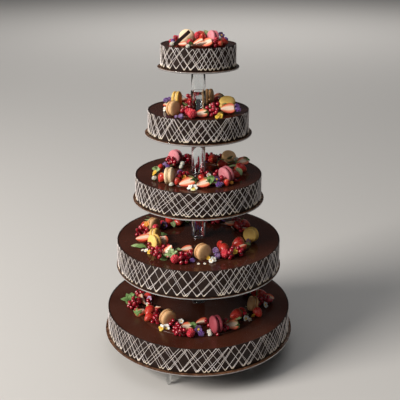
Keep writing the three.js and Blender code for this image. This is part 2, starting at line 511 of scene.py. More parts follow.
def makeBand(tier):
    thickness = tier["radius"] - tier["innerRadius"]
    heights = (tier["bandBottom"], tier["rim"])
    band = addColumn(bandShape["sides"], tier["radius"], *heights, end_fill_type="NOTHING")
    useModifier(band, "SOLIDIFY", thickness=thickness, offset=-1)
    roundEdges(band, bandShape["edge"])
    editParts(band, "VERT", lambda place: place.z > tier["rim"] - 2 * bandShape["edge"])
    bpy.ops.transform.vertex_random(offset=bandShape["unevenRim"], uniform=0, normal=0, seed=tier["number"])
    leaveEdit()
    shadeSmooth(band, 50)
    number = tier["number"]
    finish(band, f"chocolateBand_{number}", [darkBand], [f"collar_{number}"])


# Piped lattice: zigzag passes round the band, each a fine bead with fat turns near the plate

piping = {
    "lineRadius": 0.54 * mm,
    "slopes": [54, 54, 48, 53, 54],
    "linesApart": [12 * mm, 11.5 * mm, 14.5 * mm, 14 * mm, 15 * mm],
    "groupsApart": [18 * mm, 18 * mm, 23 * mm, 24 * mm, 24 * mm],
    "pairApart": 6 * mm,
    "downShare": 0.44,
    "unevenTurn": 4.5 * mm,
    "drift": 6 * mm,
    "turnAbovePlate": 3.5 * mm,
    "turnSpread": 1.3 * mm,
    "overRim": 5 * mm,
    "bow": 1.6 * mm,
    "lowTurn": {"fat": 3.0, "reach": 12 * mm},
    "highTurn": {"fat": 1.7, "reach": 5 * mm},
    "step": 8 * mm,
    "corner": 1.6 * mm,
    "cornerEnd": 2.6,
    "proud": 0.2 * mm,
    "belowRim": 0.5 * mm,
}


def passPeriod(tier):  # how far round the band one turn of a pass repeats, a whole number of times round
    height = tier["rim"] - tier["bandBottom"] - piping["turnAbovePlate"]
    slope = math.radians(piping["slopes"][tier["number"] - 1])
    around = 2 * math.pi * tier["radius"]
    return around / round(around * math.tan(slope) / (2 * height))


def zigzag(tier, draw, start, period):  # corners of one pass: distance round the band, and height
    bottom = tier["bandBottom"] + piping["turnAbovePlate"]
    around = 2 * math.pi * tier["radius"]
    waves, phase = draw.choice((3, 4, 5)), draw.uniform(0, 2 * math.pi)
    corners = []
    for number in range(-2, round(around / period) + 1):
        for low in (False, True):
            reached = start + (number + (piping["downShare"] if low else 0)) * period
            drifted = piping["drift"] * math.sin(waves * reached / tier["radius"] + phase)
            reached += drifted + draw.uniform(-1, 1) * piping["unevenTurn"]
            if low:
                height = bottom + draw.uniform(-1, 1) * piping["turnSpread"]
            else:
                height = tier["rim"] + draw.uniform(-0.45, 1) * piping["overRim"]
            corners.append((reached, height))
    return corners


def beadLine(tier, corners, draw):  # points along a pass, thick near its rounded turns
    middle = (tier["rim"] + tier["bandBottom"]) / 2
    points = []
    for (start, startHeight), (end, endHeight) in zip(corners, corners[1:]):
        length = math.hypot(end - start, endHeight - startHeight)
        steps = max(3, round(length / piping["step"]))
        bow = draw.uniform(-1, 1) * piping["bow"]
        cut = piping["corner"] / length
        inner = piping["cornerEnd"] * cut
        shares = [cut, inner] + [i / steps for i in range(1, steps)] + [1 - inner, 1 - cut]
        weight = draw.uniform(0.85, 1.15)
        for share in shares:
            height = startHeight + (endHeight - startHeight) * share
            turn = piping["lowTurn"] if height < middle else piping["highTurn"]
            near = max(0, 1 - min(share, 1 - share) * length / turn["reach"])
            thick = weight * (1 + (turn["fat"] - 1) * near) * draw.uniform(0.9, 1.1)
            points.append((start + (end - start) * share + bow * math.sin(math.pi * share), height, thick))
    return points


def cutAtRim(points, rim):  # splits a pass where it runs over the rim of the band
    runs = [[]]
    for first, second in zip(points, points[1:]):
        firstIn, secondIn = first[1] <= rim, second[1] <= rim
        if firstIn and not runs[-1]:
            runs[-1].append(first)
        if firstIn and secondIn:
            runs[-1].append(second)
        elif firstIn != secondIn:
            share = (rim - first[1]) / (second[1] - first[1])
            crossing = tuple(a + (b - a) * share for a, b in zip(first, second))
            runs[-1].append(crossing)
            if firstIn:
                runs.append([])
            else:
                runs[-1].append(second)
    return [run for run in runs if len(run) > 1]


def makeLattice(tier):
    draw = random.Random(40 + tier["number"])
    period = passPeriod(tier)
    passes = round(period / piping["linesApart"][tier["number"] - 1])
    groups = round(period / piping["groupsApart"][tier["number"] - 1])
    line = bpy.data.curves.new("pipedLattice", "CURVE")
    line.dimensions = "3D"
    line.bevel_depth = piping["lineRadius"]
    line.bevel_resolution = 1
    line.use_fill_caps = True
    distance = tier["radius"] + piping["proud"]
    around = 2 * math.pi * tier["radius"]
    for number in range(passes):
        apart = number // groups * piping["pairApart"] * draw.uniform(0.5, 1.5)
        start = number % groups / groups * period + apart
        points = beadLine(tier, zigzag(tier, draw, start, period), draw)
        inRing = [point for point in points if 0 <= point[0] <= around]
        for run in cutAtRim(inRing, tier["rim"] - piping["belowRim"]):
            spline = line.splines.new("POLY")
            spline.points.add(len(run) - 1)
            for point, (place, height, thick) in zip(spline.points, run):
                turn = place / tier["radius"]
                point.co = (-distance * math.sin(turn), distance * math.cos(turn), height, 1)
                point.radius = thick
    lattice = bpy.data.objects.new("pipedLattice", line)
    bpy.context.scene.collection.objects.link(lattice)
    pick(lattice)
    bpy.ops.object.convert(target="MESH")
    lattice = bpy.context.object
    shadeSmooth(lattice)
    # heights from the band's foot, for the painted warm highlight at the turns near the plate
    keepOwnPlace(lattice, Vector((0, 0, tier["bandBottom"])))
    finish(lattice, f"pipedLattice_{tier['number']}", [pipedWhite])
    print("  lattice", tier["number"], "of", passes, "passes,", len(lattice.data.polygons), "faces")


for tier in tiers:
    makePlate(tier)
    makeCake(tier)
    makeBand(tier)
    makeLattice(tier)
print("stage: plates, cakes, bands and lattices are made")


# Clear tubes and feet

tubeShape = {
    "sides": 64,
    "edge": 0.5 * mm,
    "ringGap": 0.1 * mm,
    "radius": 19 * mm,
    "bore": 16 * mm,
    "flangeHeight": 5 * mm,
    "sleeveHeight": 50 * mm,
}


def clearRing(inner, outer, bottom, top):  # a clear tube or ring with a wall, softened at its edges
    ring = addColumn(tubeShape["sides"], outer, bottom, top, end_fill_type="NOTHING")
    useModifier(ring, "SOLIDIFY", thickness=outer - inner, offset=-1)
    roundEdges(ring, tubeShape["edge"])
    shadeSmooth(ring, 40)
    return ring


def makeTube(number):
    low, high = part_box(f"tube_{number}")
    stepHeight = tubeShape["sleeveHeight" if number == 1 else "flangeHeight"]
    tube = clearRing(tubeShape["bore"], tubeShape["radius"], low.z, high.z)
    collar = clearRing(tubeShape["radius"] + tubeShape["ringGap"], high.x, low.z, low.z + stepHeight)
    whole = joinAll([tube, collar])
    finish(whole, f"clearTube_{number}", [acrylic], [f"tube_{number}"])


footShape = {
    "sides": 32,
    "waist": 24 * mm,
    "radius": 7 * mm,
    "drops": [(0.35, 0.93), (0.3, 0.85), (0.2, 0.80), (0.1, 0.75), (0.05, 0.7)],  # waist share, narrowing
}


def makeFoot(number):
    low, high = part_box(f"foot_{number}")
    middle = (low + high) / 2
    waist = footShape["waist"]
    foot = addColumn(footShape["sides"], footShape["radius"], waist, high.z, middle.xy)
    editParts(foot, "FACE", lambda centre, normal: normal.z < -0.9)
    for share, narrow in footShape["drops"]:
        bpy.ops.mesh.extrude_region_move(TRANSFORM_OT_translate={"value": (0, 0, -share * waist)})
        bpy.ops.transform.resize(value=(narrow, narrow, 1), center_override=(middle.x, middle.y, 0))
    leaveEdit()
    shadeSmooth(foot, 45)
    finish(foot, f"clearFoot_{number}", [acrylic], [f"foot_{number}"])


for number in range(1, 5):
    makeTube(number)
for number in range(1, 7):
    makeFoot(number)
print("stage: tubes and feet are made")


# Strawberries: modelled once whole, then cut for halves and wedges. The tip is along +Z, a cut faces +Y

berry = {
    "segments": 24,
    "rings": 16,
    "radius": 14 * mm,
    "length": 36 * mm,
    "narrowing": 0.33,
    "calyxDip": 2.2 * mm,
    "dimple": 0.6 * mm,
    "seedSize": (0.42 * mm, 0.28 * mm, 0.75 * mm),
    "seedSink": 0.35,
    "leaves": 9,
    "leafRows": 5,
    "leafLength": 16.5 * mm,
    "leafBend": 0.35,
    "leafWave": 0.12,
    "leafRib": 0.35 * mm,
    "leafThickness": 0.45 * mm,
    "leafTilts": (-32, 22),
    "leafSizes": (0.8, 1.15),
    "leafStart": 1.0 * mm,
    "fleshFrom": 0.6 * mm,
    "fleshSteps": [(1.1 * mm, 0.35 * mm), (2.2 * mm, 0.25 * mm)],  # in from the skin, and how far it swells
}


def eachLevel(piece, axis, levels, act):  # picks the points at each level along an axis, and acts on them
    for level in levels:
        editParts(piece, "VERT", lambda place: abs(place[axis] - level) < 0.02 * mm)
        act(level)
        leaveEdit()


def berryShape():
    radius = berry["radius"]
    body = addNew("uv_sphere", segments=berry["segments"], ring_count=berry["rings"], radius=radius)
    levels = [radius * math.cos(math.pi * ring / berry["rings"]) for ring in range(1, berry["rings"])]

    def narrow(level):
        share = 1 - berry["narrowing"] * level / radius
        bpy.ops.transform.resize(value=(share, share, 1))

    eachLevel(body, 2, levels, narrow)
    movePoints(body, lambda place: place.z < -0.97 * radius, (0, 0, berry["calyxDip"]))
    editFaces(body)
    bpy.ops.transform.resize(value=(1, 1, berry["length"] / 2 / radius), center_override=(0, 0, 0))
    leaveEdit()
    return body


def isSeedPlace(place):
    share = 2 * place.z / berry["length"]
    if not -0.93 < share < 0.985:
        return False
    ring = round(math.acos(share) / math.pi * berry["rings"])
    segment = round(math.atan2(place.y, place.x) / (2 * math.pi) * berry["segments"])
    apart = 4 if ring < 4 else 2
    return (segment + ring * apart // 2) % apart == 0


def addSeeds(body, keep):  # pits the skin and lays a seed in each pit
    chosen = [vertex for vertex in body.data.vertices if isSeedPlace(vertex.co)]
    pits = [(vertex.co.copy(), vertex.normal.copy()) for vertex in chosen]
    editParts(body, "VERT", isSeedPlace)
    bpy.ops.transform.shrink_fatten(value=-berry["dimple"])
    leaveEdit()
    useModifier(body, "SUBSURF", levels=1, render_levels=1)
    seed = addNew("uv_sphere", segments=4, ring_count=4, radius=1, scale=berry["seedSize"])
    seeds = []
    for place, normal in pits:
        if keep(place):
            inward = place - normal * berry["seedSink"] * berry["dimple"]
            turn = normal.to_track_quat("Y", "Z").to_matrix().to_4x4()
            seeds.append(copyOf(seed, Matrix.Translation(inward) @ turn))
    bpy.data.objects.remove(seed)
    return joinAll(seeds)


def shapedGrid(columns, rows, length, shape):  # a flat grid along Y whose rows get a width and a height each
    piece = addNew("grid", x_subdivisions=columns, y_subdivisions=rows, size=length)

    def act(level):
        width, height = shape(level / length + 0.5)
        bpy.ops.transform.resize(value=(width, 1, 1))
        bpy.ops.transform.translate(value=(0, 0, height))

    eachLevel(piece, 1, [length * (step / rows - 0.5) for step in range(rows + 1)], act)
    return piece


def sepal():  # one pointed green leaf of the calyx, bent back over the shoulder
    length = berry["leafLength"]

    def shape(share):
        width = 0.42 * math.sin(math.pi * min(1, 0.25 + 0.75 * share)) + 0.03
        bend = -berry["leafBend"] * length * share ** 2
        return width, bend + berry["leafWave"] * length * math.sin(3 * share)

    leaf = shapedGrid(2, berry["leafRows"], length, shape)
    movePoints(leaf, lambda place: abs(place.x) < 0.01 * mm, (0, 0, -berry["leafRib"]))
    leaf.data.transform(Matrix.Translation((0, 0.42 * length, 0)))
    useModifier(leaf, "SOLIDIFY", thickness=berry["leafThickness"], offset=0)
    return leaf


def calyx(keep):  # a ring of sepals at the broad end, facing -Z
    leaf = sepal()
    start = Matrix.Translation((0, 0, berry["leafStart"] - 0.5 * berry["length"]))
    draw = random.Random(7)
    ring = []
    for number in range(berry["leaves"]):
        turn = 2 * math.pi * number / berry["leaves"]
        place = start @ Matrix.Rotation(turn, 4, "Z")
        tilt = Matrix.Rotation(math.radians(draw.uniform(*berry["leafTilts"])), 4, "X")
        if keep(Matrix.Rotation(turn, 3, "Z") @ Vector((0, 1, 0))):
            size = Matrix.Scale(draw.uniform(*berry["leafSizes"]), 4)
            ring.append(copyOf(leaf, place @ Matrix.Rotation(math.pi, 4, "Y") @ tilt @ size))
    bpy.data.objects.remove(leaf)
    return ring


def modelBerry(name, cuts, leafy):
    body = berryShape()
    cuts = [Vector(cut) for cut in cuts]
    seeds = addSeeds(body, lambda place: all(place.dot(cut) < -berry["fleshFrom"] for cut in cuts))
    for cut in cuts:
        editFaces(body)
        bpy.ops.mesh.bisect(plane_co=(0, 0, 0), plane_no=cut, use_fill=True, clear_outer=True)
        leaveEdit()
    for cut in cuts:  # the cut flesh swells a little inside its skin
        editParts(body, "FACE", lambda centre, normal: normal.dot(cut) > 0.99)
        for inward, swell in berry["fleshSteps"]:
            bpy.ops.mesh.inset(thickness=inward, use_even_offset=False)
            bpy.ops.transform.translate(value=cut * swell)
        leaveEdit()
    for face in body.data.polygons:
        isFlesh = any(face.normal.dot(cut) > 0.8 and face.center.dot(cut) > -0.2 * mm for cut in cuts)
        face.material_index = int(isFlesh)
    useLooks(body, berrySkin, berryFlesh)
    useLooks(seeds, berrySeed)
    parts = [body, seeds]
    if leafy:
        for leaf in calyx(lambda way: all(way.dot(cut) < 0.85 for cut in cuts)):
            useLooks(leaf, leafGreen)
            parts.append(leaf)
    for part in parts:
        shadeSmooth(part, 50)
    whole = joinAll(parts, name)
    keepOwnPlace(whole)
    return whole


# Raspberries and redcurrants

raspberry = {
    "drupelet": 2.45 * mm,
    "sizes": (0.9, 1.1),
    "radius": 7.2 * mm,
    "length": 9.0 * mm,
    "taper": 0.25,
    "base": 0.8,
    "baseSize": (0.9, 0.9, 0.7),
}


def modelRaspberry():
    guide = addNew("ico_sphere", subdivisions=2, radius=1)
    bead = addNew("ico_sphere", subdivisions=2, radius=raspberry["drupelet"])
    draw = random.Random(3)
    beads = []
    for vertex in guide.data.vertices:
        x, y, z = vertex.co
        wide = raspberry["radius"] * (1 - raspberry["taper"] * z)
        place = Matrix.Translation((x * wide, y * wide, z * raspberry["length"]))
        if z > -0.9:
            beads.append(copyOf(bead, place @ Matrix.Scale(draw.uniform(*raspberry["sizes"]), 4)))
    for spare in (guide, bead):
        bpy.data.objects.remove(spare)
    whole = joinAll(beads)
    editParts(whole, "VERT", lambda place: place.z < -raspberry["base"] * raspberry["length"])
    bpy.ops.transform.resize(value=raspberry["baseSize"])
    leaveEdit()
    return asModel(whole, "raspberry", raspberryRed)


currant = {"radius": 5.8 * mm, "segments": 12, "rings": 8, "tip": 1.3 * mm}


def modelCurrant():
    radius = currant["radius"]
    ball = addNew("uv_sphere", segments=currant["segments"], ring_count=currant["rings"], radius=radius)
    movePoints(ball, lambda place: place.z > 0.99 * radius, (0, 0, currant["tip"]))
    for face in ball.data.polygons:
        face.material_index = int(face.center.z > 0.95 * radius)
    return asModel(ball, "currant", currantRed, driedTip, angle=60)


# Leaves: along +Z, with the upper side facing +Y

leafShape = {
    "length": 26 * mm,
    "width": 17.5 * mm,
    "rows": 12,
    "columns": 6,
    "tip": 0.04,
    "teeth": (0.94, 1.08),
    "curl": 7.2 * mm,
    "curlFrom": 0.25,
    "rib": 0.9 * mm,
    "thickness": 0.45 * mm,
}


def modelLeaf(name, look):
    length, rows = leafShape["length"], leafShape["rows"]

    def shape(share):
        step, wide = round(share * rows), leafShape["tip"]
        if 0 < step < rows:
            wide = leafShape["width"] / length * math.sin(math.pi * share ** 0.75) ** 0.8
        return wide * leafShape["teeth"][step % 2], -leafShape["curl"] * (share - leafShape["curlFrom"]) ** 2

    leaf = shapedGrid(leafShape["columns"], rows, length, shape)
    movePoints(leaf, lambda place: abs(place.x) < 0.02 * mm, (0, 0, -leafShape["rib"]))
    useModifier(leaf, "SOLIDIFY", thickness=leafShape["thickness"], offset=0)
    useModifier(leaf, "SUBSURF", levels=1, render_levels=1)
    leaf.data.transform(Matrix.Rotation(math.pi, 4, "Z") @ Matrix.Rotation(math.pi / 2, 4, "X"))
    return asModel(leaf, name, look)


sprigRings = [(4, 20, 72, 0.9), (4, 65, 50, 0.72), (2, 10, 24, 0.5)]  # leaves, first turn, tilt, size


def modelSprig(name, leaf):  # the tip of a mint shoot, its stem along +Z
    leaves = []
    for count, first, tilt, size in sprigRings:
        for number in range(count):
            turn = Matrix.Rotation(math.radians(first + 360 * number / count), 4, "Z")
            lean = Matrix.Rotation(math.radians(tilt + 9 * math.sin(5 * number)), 4, "X")
            outward = Matrix.Translation((0, 0, 0.5 * leafShape["length"] * size))
            leaves.append(copyOf(leaf, turn @ lean @ outward @ Matrix.Scale(size, 4)))
    return joinAll(leaves, name)


# Flowers: the face of a flower looks along +Z

petalShape = {
    "columns": 4,
    "widths": [0.22, 0.62, 0.92, 1.0, 0.86, 0.42],
    "edge": 0.3,
    "fold": 0.4,
    "thickness": 0.35 * mm,
}


def modelPetal(length, width, cup, ruffle, look):
    widths = petalShape["widths"]
    rows = len(widths) - 1

    def shape(share):
        return widths[round(share * rows)] * width / length, cup * share ** 2

    petal = shapedGrid(petalShape["columns"], rows, length, shape)
    outer = petalShape["edge"] * width
    movePoints(petal, lambda place: abs(place.x) > outer and place.y > 0, (0, 0, -ruffle))
    movePoints(petal, lambda place: abs(place.x) < 0.02 * mm, (0, 0, -petalShape["fold"] * ruffle))
    petal.data.transform(Matrix.Translation((0, 0.5 * length, 0)))
    useModifier(petal, "SOLIDIFY", thickness=petalShape["thickness"], offset=0)
    useLooks(petal, look)
    return petal


def modelFlower(name, petals, heart):  # each petal: turn, length, width, cup, ruffle, lift, look
    parts = []
    for turn, length, width, cup, ruffle, lift, look in petals:
        petal = modelPetal(length * mm, width * mm, cup * mm, ruffle * mm, petalFinish[look])
        turned = Matrix.Rotation(math.radians(turn), 4, "Z")
        petal.data.transform(turned @ Matrix.Translation((0, 0, lift * mm)))
        parts.append(petal)
    centre = addNew("uv_sphere", segments=10, ring_count=6, radius=heart * mm)
    editFaces(centre)
    bpy.ops.transform.resize(value=(1, 1, 0.6))
    bpy.ops.transform.translate(value=(0, 0, 0.3 * heart * mm))
    leaveEdit()
    useLooks(centre, pollen)
    parts.append(centre)
    return asModel(joinAll(parts), name)


def violaPetals(upper, side, lower):  # two upper petals behind, two at the sides, one broad petal below
    return [
        (24, 9.5, 9.5, 1.2, 0.9, -0.8, upper),
        (-24, 9.5, 9.5, 1.2, 0.9, -0.5, upper),
        (98, 8.5, 8, 1.6, 0.8, 0.1, side),
        (-98, 8.5, 8, 1.6, 0.8, 0.2, side),
        (180, 9, 11, 1.4, 1.1, 0.5, lower),
    ]


def roundPetals(count, length, width, cup, look):
    return [(360 * i / count, length, width, cup, 0.6, 0.15 * (i % 2), look) for i in range(count)]


# Heads of many small florets, domed along +Z

head = {
    "sides": 15,
    "petalEvery": 3,
    "radius": 3.9 * mm,
    "notch": 0.5,
    "thickness": 0.3 * mm,
    "cup": 1.0 * mm,
    "heart": 0.8 * mm,
    "count": 12,
    "turn": 137.5,
    "dome": 8.5 * mm,
    "lean": 62,
    "leans": (-9, 9),
    "rises": (-1.4 * mm, 1.2 * mm),
    "sizes": (0.75, 1.1),
    "stem": 2.5 * mm,
}


def modelFloret(look, heartLook):
    floret = addNew("circle", vertices=head["sides"], radius=head["radius"], fill_type="TRIFAN")
    step = 2 * math.pi / head["sides"]

    def isNotch(place):
        number = round(math.atan2(place.x, place.y) / step)
        return place.length > 0.5 * head["radius"] and number % head["petalEvery"] == 0

    editParts(floret, "VERT", isNotch)
    bpy.ops.transform.resize(value=(head["notch"], head["notch"], 1), center_override=(0, 0, 0))
    leaveEdit()
    movePoints(floret, lambda place: place.length < 0.1 * head["radius"], (0, 0, -head["cup"]))
    useModifier(floret, "SOLIDIFY", thickness=head["thickness"], offset=0)
    useLooks(floret, look)
    heart = addNew("ico_sphere", subdivisions=1, radius=head["heart"], location=(0, 0, -0.6 * head["cup"]))
    useLooks(heart, heartLook)
    whole = joinAll([floret, heart])
    keepOwnPlace(whole)
    return whole


def modelHead(name, looks, heartLook, seed):  # florets round a dome, of each look in turn
    draw = random.Random(seed)
    templates = [modelFloret(floretFinish[look], heartLook) for look in looks]
    florets = []
    for number in range(head["count"]):
        reach = math.sqrt((number + 0.5) / head["count"])
        turn = Matrix.Rotation(number * math.radians(head["turn"]), 4, "Z")
        lean = Matrix.Rotation(math.radians(head["lean"] * reach + draw.uniform(*head["leans"])), 4, "X")
        outward = Matrix.Translation((0, 0, head["dome"] + draw.uniform(*head["rises"])))
        spin = Matrix.Rotation(draw.uniform(0, 2 * math.pi), 4, "Z")
        size = Matrix.Scale(draw.uniform(*head["sizes"]), 4)
        florets.append(copyOf(templates[number % len(templates)], turn @ lean @ outward @ spin @ size))
    for spare in templates:
        bpy.data.objects.remove(spare)
    green = addNew("ico_sphere", subdivisions=2, radius=head["dome"] - head["stem"])
    useLooks(green, leafGreen)
    keepOwnPlace(green)
    return joinAll([*florets, green], name)


# Chocolate bar, along +Z, its flat side facing +Y

bar = {
    "size": (9 * mm, 2.8 * mm, 52 * mm),
    "edge": 0.5 * mm,
    "cuts": 5,
    "uneven": 0.12 * mm,
}


def modelBar():
    stick = addNew("cube", size=1, scale=bar["size"])
    editParts(stick, "EDGE", lambda first, second: True)
    bpy.ops.mesh.subdivide(number_cuts=bar["cuts"])
    bpy.ops.transform.vertex_random(offset=bar["uneven"], uniform=0, normal=0, seed=4)
    leaveEdit()
    roundEdges(stick, bar["edge"])
    return asModel(stick, "chocolateBar", darkBand, angle=60)


# Macarons: two domed shells with ruffled feet, and the filling between them

macaron = {
    "sides": 48,
    "radius": 21.3 * mm,
    "half": 12.4 * mm,
    "filling": 2.0 * mm,
    "fillingShare": 0.86,
    "fillingSteps": [1.05, 1.012, 0.99, 0.95],
    "footHeight": 2.9 * mm,
    "footRadius": 21.1 * mm,
    "footSides": 72,
    "footSteps": [1.06, 1.012, 0.985, 1.02],
    "ruffle": 0.7 * mm,
    "overlap": 0.6 * mm,
    "domeStart": 0.97,
    "dome": [(0.05, 1.0), (0.22, 1.0), (0.45, 0.96), (0.65, 0.87), (0.82, 0.72), (0.93, 0.52), (0.985, 0.28)],
    "domeTop": 0.012,
}


def raiseRound(sides, radius, bottom, steps):  # a flat round raised in steps, each a rise and how it widens
    piece = addNew("circle", vertices=sides, radius=radius, fill_type="NGON", location=(0, 0, bottom))
    editFaces(piece)
    for rise, wider in steps:
        bpy.ops.mesh.extrude_region_move(TRANSFORM_OT_translate={"value": (0, 0, rise)})
        bpy.ops.transform.resize(value=(wider, wider, 1))
    return piece


def domedShell():
    base = macaron["filling"] + macaron["footHeight"]
    rise = macaron["half"] - base
    reached, wide = -macaron["overlap"], macaron["domeStart"]
    steps = []
    for height, width in macaron["dome"]:
        steps.append((height * rise - reached, width / wide))
        reached, wide = height * rise, width
    radius = macaron["domeStart"] * macaron["radius"]
    shell = raiseRound(macaron["sides"], radius, base - macaron["overlap"], steps)
    bpy.ops.mesh.inset(thickness=0.5 * wide * macaron["radius"])
    bpy.ops.transform.translate(value=(0, 0, macaron["domeTop"] * rise))
    leaveEdit()
    faceOutwards(shell)
    return shell


def ruffledFoot(seed):
    steps = [(macaron["footHeight"] / 4, wider) for wider in macaron["footSteps"]]
    bottom = macaron["filling"] - 0.2 * mm
    foot = raiseRound(macaron["footSides"], 0.93 * macaron["footRadius"], bottom, steps)
    leaveEdit()
    editParts(foot, "VERT", lambda place: math.hypot(place.x, place.y) > 0.5 * macaron["footRadius"])
    bpy.ops.transform.vertex_random(offset=macaron["ruffle"], uniform=0.3, normal=0, seed=seed)
    leaveEdit()
    faceOutwards(foot)
    return foot


def fillingDisc():
    thick = 2 * macaron["filling"]
    steps = [(0.25 * thick, wider) for wider in macaron["fillingSteps"]]
    disc = raiseRound(macaron["sides"], macaron["fillingShare"] * macaron["radius"], -0.5 * thick, steps)
    leaveEdit()
    faceOutwards(disc)
    return disc


def modelMacaron(name, shellLook, footLook, fillingLook):
    over = Matrix.Rotation(math.pi, 4, "X")
    shell, foot, disc, otherFoot = domedShell(), ruffledFoot(5), fillingDisc(), ruffledFoot(9)
    otherFoot.data.transform(over)
    parts = [shell, copyOf(shell, over), foot, otherFoot, disc]
    for part, look in zip(parts, [shellLook, shellLook, footLook, footLook, fillingLook]):
        useLooks(part, look)
        shadeSmooth(part, 60)
    whole = joinAll(parts, name)
    keepOwnPlace(whole)
    return whole


# Finishes of the fruit, flowers and macarons

def berrySkinLook(wire):
    own = wire.ownPlace()
    share = own.axis(2) / (0.5 * berry["length"])
    pale = 1 - share.smooth(-0.98, -0.35)
    patch = wire.noise(own, 90, 2).smooth(0.35, 0.7)
    red = patch.blend((0.54, 0.016, 0.018, 1), (0.66, 0.038, 0.028, 1))
    return {
        "Base Color": (0.8 * pale).blend(red, (0.82, 0.30, 0.12, 1)),
        "Roughness": 0.24 + 0.12 * patch,
        "Normal": bumpFrom(wire, wire.noise(own, 700, 2), 0.0004, 0.4),
    }


def berryFleshLook(wire):
    own = wire.ownPlace()
    share = own.axis(2) / (0.5 * berry["length"])
    across = own.fromAxis()
    edge = (1 - share * share).atLeast(0.001) ** 0.5
    width = edge * (1 - berry["narrowing"] * share) * berry["radius"]
    streak = wire.noise(own, 420, 3, 0.6) - 0.5
    depth = across / width + 0.22 * streak
    stops = [
        (0.0, (0.86, 0.52, 0.40)),
        (0.14, (0.92, 0.74, 0.60)),
        (0.30, (0.92, 0.68, 0.50)),
        (0.50, (0.88, 0.36, 0.20)),
        (0.76, (0.80, 0.16, 0.075)),
        (0.97, (0.60, 0.04, 0.022)),
    ]
    flesh = wire.node("ValToRGB", {"stops": stops}, {"Fac": depth})
    return {"Base Color": flesh, "Roughness": 0.22 + 0.3 * (streak + 0.5)}


def oneColourLook(scale, first, second, rough):
    def build(wire):
        patch = wire.noise(wire.ownPlace(), scale, 2).smooth(0.35, 0.7)
        return {"Base Color": patch.blend(first, second), "Roughness": rough + 0.1 * patch}
    return build


def leafLook(dark, light):
    def build(wire):
        own = wire.ownPlace()
        fromRib = own.axis(0).size()
        vein = ((own.axis(2) - fromRib * 0.8) * 1900).wave().smooth(0.75, 1.0)
        rib = 1 - (fromRib * 1000).smooth(0.2, 0.7)
        lit = vein.atLeast(rib)
        patch = wire.noise(own, 120, 2).smooth(0.3, 0.7)
        return {
            "Base Color": (0.75 * lit + 0.25 * patch).blend(dark, light),
            "Roughness": 0.42 + 0.1 * lit,
            "Normal": bumpFrom(wire, 1 - lit, 0.0005, 0.6),
        }
    return build


def petalLook(inner, outer, throat=(0.85, 0.55, 0.06, 1)):
    def build(wire):
        own = wire.ownPlace()
        distance = own.fromAxis() * 1000
        vein = wire.noise(own, 800, 2).smooth(0.4, 0.7)
        body = (distance.smooth(2.5, 9) * 0.8 + 0.2 * vein).blend(inner, outer)
        return {"Base Color": distance.smooth(1.6, 3.4).blend(throat, body), "Roughness": 0.6}
    return build


def floretLook(inner, outer):
    def build(wire):
        distance = wire.ownPlace().fromAxis() * 1000
        return {"Base Color": distance.smooth(0.9, 2.8).blend(inner, outer), "Roughness": 0.6}
    return build


def macaronLook(light, dark, feet=False):
    def build(wire):
        own = wire.ownPlace()
        patch = wire.noise(own, 130, 3, 0.6).smooth(0.3, 0.75)
        grain = wire.noise(own, 1500, 3, 0.7)
        crumb = wire.noise(own, 420, 4, 0.7)
        height = grain + 3 * crumb if feet else grain + 0.6 * patch
        return {
            "Base Color": patch.blend(light, dark),
            "Roughness": 0.55 + 0.2 * grain,
            "Normal": bumpFrom(wire, height, 0.0006, 0.8 if feet else 0.35),
        }
    return build


berrySkin = makeFinish("berrySkin", berrySkinLook, **{"Coat Weight": 0.25, "Coat Roughness": 0.12})
berryFlesh = makeFinish("berryFlesh", berryFleshLook)
berrySeed = makeFinish("berrySeed", oneColourLook(300, (0.62, 0.36, 0.08, 1), (0.50, 0.22, 0.05, 1), 0.4))
raspberryLook = oneColourLook(160, (0.60, 0.022, 0.045, 1), (0.76, 0.070, 0.085, 1), 0.28)
raspberryRed = makeFinish("raspberryRed", raspberryLook, **{"Coat Weight": 0.2})
currantLook = oneColourLook(120, (0.28, 0.004, 0.016, 1), (0.48, 0.012, 0.032, 1), 0.08)
currantRed = makeFinish("currantRed", currantLook, **{"Coat Weight": 0.8})
driedTip = makeFinish("driedTip", oneColourLook(500, (0.06, 0.035, 0.02, 1), (0.10, 0.06, 0.03, 1), 0.7))
leafGreen = makeFinish("leafGreen", leafLook((0.13, 0.27, 0.065, 1), (0.34, 0.50, 0.20, 1)))
# a paler leaf green: partly a paler grey-green leaf, partly painted highlight, a lit copy of the leaf green
paleAndLitLeafGreen = makeFinish("paleAndLitLeafGreen", leafLook((0.28, 0.41, 0.15, 1), (0.56, 0.66, 0.36, 1)))
pollen = makeFinish("pollen", oneColourLook(900, (0.80, 0.50, 0.04, 1), (0.62, 0.34, 0.03, 1), 0.8))
petalColours = {  # near the heart and at the edge, and the throat where it isn't yellow
    "violet": [(0.09, 0.03, 0.17, 1), (0.16, 0.07, 0.28, 1)],
    "lilac": [(0.34, 0.20, 0.52, 1), (0.50, 0.36, 0.68, 1)],
    "mauve": [(0.42, 0.20, 0.40, 1), (0.60, 0.38, 0.56, 1)],
    "magenta": [(0.36, 0.02, 0.19, 1), (0.52, 0.06, 0.30, 1)],
    "lemon": [(0.84, 0.70, 0.10, 1), (0.84, 0.80, 0.55, 1)],
    "darkViolet": [(0.035, 0.010, 0.050, 1), (0.085, 0.025, 0.10, 1)],
    "white": [(0.84, 0.82, 0.72, 1), (0.82, 0.82, 0.80, 1)],
    "yellow": [(0.78, 0.44, 0.03, 1), (0.82, 0.62, 0.10, 1), (0.5, 0.2, 0.02, 1)],
    "orange": [(0.72, 0.22, 0.02, 1), (0.80, 0.40, 0.06, 1), (0.5, 0.1, 0.02, 1)],
}
floretColours = {
    "lilac": [(0.16, 0.07, 0.27, 1), (0.52, 0.37, 0.70, 1)],
    "violet": [(0.06, 0.015, 0.12, 1), (0.19, 0.07, 0.36, 1)],
    "purple": [(0.05, 0.01, 0.07, 1), (0.13, 0.035, 0.19, 1)],
    "white": [(0.70, 0.72, 0.48, 1), (0.86, 0.85, 0.81, 1)],
}
petalFinish = {kind: makeFinish(f"{kind}Petal", petalLook(*hues)) for kind, hues in petalColours.items()}
